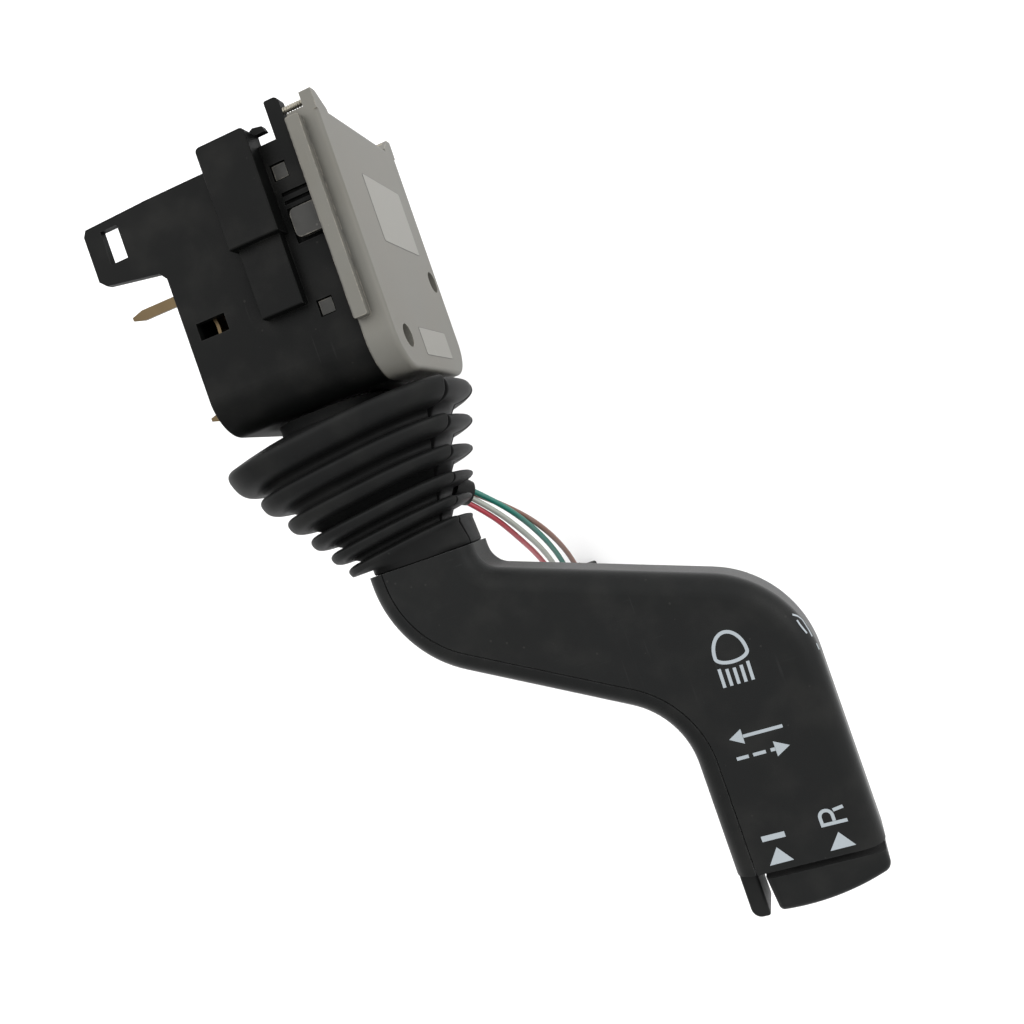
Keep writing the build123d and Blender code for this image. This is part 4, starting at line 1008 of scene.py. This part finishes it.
class STALK_OT_screws(bpy.types.Operator):
    """Turn the threads of the two cover screws: a radius that rises and falls once a turn along the axis."""

    bl_idname = "stalk.screws"
    bl_label = "Cover screws"

    def execute(self, context):
        low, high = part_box("cover_screws")
        low, high = np.array(low) / MM, np.array(high) / MM
        turns = context.scene.stalk_sizes.thread_turns
        rows, columns = turns * ROWS_PER_TURN, THREAD_COLUMNS
        along = np.linspace(low[0], high[0], rows)[:, None]
        angle = np.linspace(0, 2 * np.pi, columns, endpoint=False)[None, :]
        wave = np.abs(((turns * (along - low[0]) / (high[0] - low[0]) + angle / (2 * np.pi)) % 1) * 2 - 1)
        outer = (high[1] - low[1]) / 2
        radius = outer * (THREAD_CORE + (1 - THREAD_CORE) * wave)
        parts = []
        for middle in (low[2] + outer, high[2] - outer):
            across = (low[1] + high[1]) / 2 + radius * np.cos(angle)
            skin = np.stack([along + 0 * angle, across, middle + radius * np.sin(angle)], axis=2)
            ends = [list(range(columns)), list(range(rows * columns - columns, rows * columns))]
            parts.append((skin.reshape(-1, 3), grid_faces(rows, columns).tolist() + ends))
        screws = gather("threaded_screws", parts, smooth=True)
        coat(screws, metal("Zinc plated steel", (0.32, 0.3, 0.25), (0.14, 0.13, 0.1), 0.35))
        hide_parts("cover_screws")
        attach(screws, "switch_block")
        return {"FINISHED"}


# Level along X inside which the cover lies within the block and gets painted shade

COVER_BURIED = -1.4


class STALK_OT_mouldings(bpy.types.Operator):
    """Give the plastic mouldings their grain, flow marks, rubbed edges and dust."""

    bl_idname = "stalk.mouldings"
    bl_label = "Mouldings"

    def execute(self, context):
        colours = context.scene.stalk_colours
        black = moulded(
            "Block black",
            tuple(colours.housing),
            (0.025, 0.025, 0.024),
            specular=0.08,
            grain=0.012,
            rub=0.5,
            dust=0.01,
            drift=0.5,
        )
        coat_nodes(black, "base_housing", "connector")
        # The cover's rubbed edges, set high and beige, are partly wear and partly painted highlight; inside
        # COVER_BURIED it gets painted shade
        grey = moulded(
            "Cover grey",
            tuple(colours.cover),
            (0.22, 0.2, 0.165),
            specular=0.25,
            grain=0.008,
            rub=0.9,
            dust=0.04,
            drift=0.8,
            scratches=0.15,
            buried=COVER_BURIED,
        )
        coat_nodes(grey, "side_cover")
        satin = moulded(
            "Lever black",
            tuple(colours.stalk),
            (0.03, 0.031, 0.031),
            specular=0.12,
            grain=0.02,
            rub=0.4,
            dust=0.01,
        )
        shade = satin.node_tree.nodes["Principled BSDF"]
        shade.inputs["Sheen Weight"].default_value = 0.1
        shade.inputs["Sheen Roughness"].default_value = 0.35
        coat_nodes(satin, "front_shell", "back_shell", "rocker", "off_button")
        acetal, acetal_pale = (0.62, 0.6, 0.54), (0.8, 0.78, 0.72)
        white = moulded("Acetal white", acetal, acetal_pale, roughness=0.4, grain=0.006, rub=0.2)
        coat_nodes(white, "carrier", "detent_track", "cancel_finger")
        board = moulded("Board laminate", (0.22, 0.11, 0.04), (0.4, 0.25, 0.12), roughness=0.5, drift=0.8)
        coat_nodes(board, "contact_board", "rocker_board")
        coat_nodes(rubber("Sleeve rubber", tuple(colours.rubber), seam=False), "lead_outlet", "rocker_domes")
        return {"FINISHED"}


class STALK_OT_metalwork(bpy.types.Operator):
    """Give the brass and steel pieces their metal."""

    bl_idname = "stalk.metalwork"
    bl_label = "Metalwork"

    def execute(self, context):
        brass = metal("Terminal brass", tuple(context.scene.stalk_colours.brass), (0.06, 0.043, 0.027), 0.38)
        coat_nodes(brass, "terminal_blades", "bus_strip", "fixed_contacts", "moving_contacts")
        steel = metal("Bright steel", (0.56, 0.55, 0.53), (0.32, 0.31, 0.3), 0.3)
        pins = ("finger_pin", "lever_pin", "clamp_pin", "rocker_pin", "button_pin")
        springs = ("finger_spring", "indicator_spring", "beam_spring", "button_spring")
        coat_nodes(steel, "lever_arm", "indicator_plunger", "beam_plunger", *pins, *springs)
        return {"FINISHED"}


# Stage: the lights as name, place, size and watts, and the camera that was fitted to the photograph

FLOOR_REACH = 1400.0
LIGHTS = (
    ("key_light", (-260, 180, 420), 320, 0.7),
    ("rim_light", (420, 60, 260), 260, 0.7),
    ("fill_light", (60, -480, 320), 420, 0.15),
)
LIT_POINT = (10, -50, 0)
BRIGHT_SIDE = (0.46, 0.72, 0.52)
SKY_RANGE = (0.45, 1.95)
PHOTO_WIDTH, FOCAL_PIXELS = 1024, 1100
SENSOR_WIDTH = 36.0
CAMERA_PLACE = (78.6, -52.5, 262.2)
CAMERA_RIGHT = (0.9143, -0.3289, -0.2365)
CAMERA_UP = (0.3184, 0.9444, -0.0823)
CAMERA_BACK = (0.2504, 0.0, 0.9681)


def lay_floor():
    """Lay a pale paper floor just under the switch."""
    sides = ((-1, -1), (1, -1), (1, 1), (-1, 1))
    corners = [(x * FLOOR_REACH, y * FLOOR_REACH, FLOOR_LEVEL) for x, y in sides]
    floor = mesh_piece("studio_floor", corners, [[0, 1, 2, 3]], smooth=False)
    material, tree, shade, relief = start_finish("Studio paper", 0.9, specular=0.1, bump=0.02)
    coords = place(tree, "TexCoord").outputs["Object"]
    drift = noise(tree, coords, 0.002, detail=2.0)
    join(tree, blend_colour(tree, drift, (0.9, 0.9, 0.9), (0.88, 0.88, 0.88)), shade.inputs["Base Color"])
    join(tree, noise(tree, coords, 1.5, detail=2.0), relief.inputs["Height"])
    floor.data.materials.append(material)


def light_world(scene):
    """Light the scene from a white sky that is brighter on one side."""
    world = bpy.data.worlds.new("Studio")
    world.use_nodes = True
    tree = world.node_tree
    sky = tree.nodes["Background"]
    sky.inputs["Color"].default_value = (1.0, 1.0, 1.0, 1.0)
    towards = place(tree, "VectorMath", operation="DOT_PRODUCT")
    join(tree, place(tree, "TexCoord").outputs["Generated"], towards.inputs[0])
    towards.inputs[1].default_value = BRIGHT_SIDE
    dim, bright = SKY_RANGE
    strength = place(tree, "MapRange", From_Min=-1.0, From_Max=1.0, To_Min=dim, To_Max=bright)
    join(tree, towards.outputs["Value"], strength.inputs["Value"])
    join(tree, strength.outputs["Result"], sky.inputs["Strength"])
    scene.world = world


def hang_lights(scene):
    """Hang the square lights and turn them to the switch."""
    for name, position, size, power in LIGHTS:
        light = bpy.data.lights.new(name, "AREA")
        light.size = size * MM
        light.energy = power
        lamp = bpy.data.objects.new(name, light)
        lamp.location = Vector(position) * MM
        aim = Vector(LIT_POINT) * MM - lamp.location
        lamp.rotation_euler = aim.to_track_quat("-Z", "Y").to_euler()
        scene.collection.objects.link(lamp)


def place_camera(scene):
    """Put the camera where the photograph was taken from."""
    lens = bpy.data.cameras.new("photo_camera")
    lens.sensor_width = SENSOR_WIDTH
    lens.lens = FOCAL_PIXELS * SENSOR_WIDTH / PHOTO_WIDTH
    lens.clip_start = 0.01
    camera = bpy.data.objects.new("photo_camera", lens)
    turn = Matrix((CAMERA_RIGHT, CAMERA_UP, CAMERA_BACK)).transposed().to_4x4()
    camera.matrix_world = Matrix.Translation(Vector(CAMERA_PLACE) * MM) @ turn
    scene.collection.objects.link(camera)
    scene.camera = camera


class STALK_OT_stage(bpy.types.Operator):
    """Set up the pale floor, the soft lights and the photograph's camera."""

    bl_idname = "stalk.stage"
    bl_label = "Floor, lights and camera"

    def execute(self, context):
        lay_floor()
        light_world(context.scene)
        hang_lights(context.scene)
        place_camera(context.scene)
        context.scene.view_settings.view_transform = "Standard"
        return {"FINISHED"}


STEPS = (
    STALK_OT_stage,
    STALK_OT_mouldings,
    STALK_OT_metalwork,
    STALK_OT_screws,
    STALK_OT_bellows,
    STALK_OT_leads,
    STALK_OT_signs,
    STALK_OT_labels,
)


class STALK_PT_pieces(bpy.types.Panel):
    """List the sizes, the colours and the steps in the sidebar."""

    bl_idname = "STALK_PT_pieces"
    bl_label = "Stalk Switch"
    bl_space_type = "VIEW_3D"
    bl_region_type = "UI"
    bl_category = "Stalk Switch"

    def draw(self, context):
        for group in (context.scene.stalk_sizes, context.scene.stalk_colours):
            box = self.layout.box()
            for name in group.bl_rna.properties.keys():
                if name not in ("rna_type", "name"):
                    box.prop(group, name)
        for step in STEPS:
            self.layout.operator(step.bl_idname)


CLASSES = (StalkSizes, StalkColours, *STEPS, STALK_PT_pieces)


def register():
    """Register the classes and hang their values on the scene."""
    for kind in CLASSES:
        bpy.utils.register_class(kind)
    bpy.types.Scene.stalk_sizes = PointerProperty(type=StalkSizes)
    bpy.types.Scene.stalk_colours = PointerProperty(type=StalkColours)


def unregister():
    """Take the values off the scene and the classes out again."""
    del bpy.types.Scene.stalk_colours
    del bpy.types.Scene.stalk_sizes
    for kind in reversed(CLASSES):
        bpy.utils.unregister_class(kind)


def main():
    """Run every step in order."""
    register()
    for step in STEPS:
        group, action = step.bl_idname.split(".")
        if getattr(getattr(bpy.ops, group), action)() != {"FINISHED"}:
            raise RuntimeError(f"{step.bl_label} did not finish")


if __name__ == "__main__":
    main()
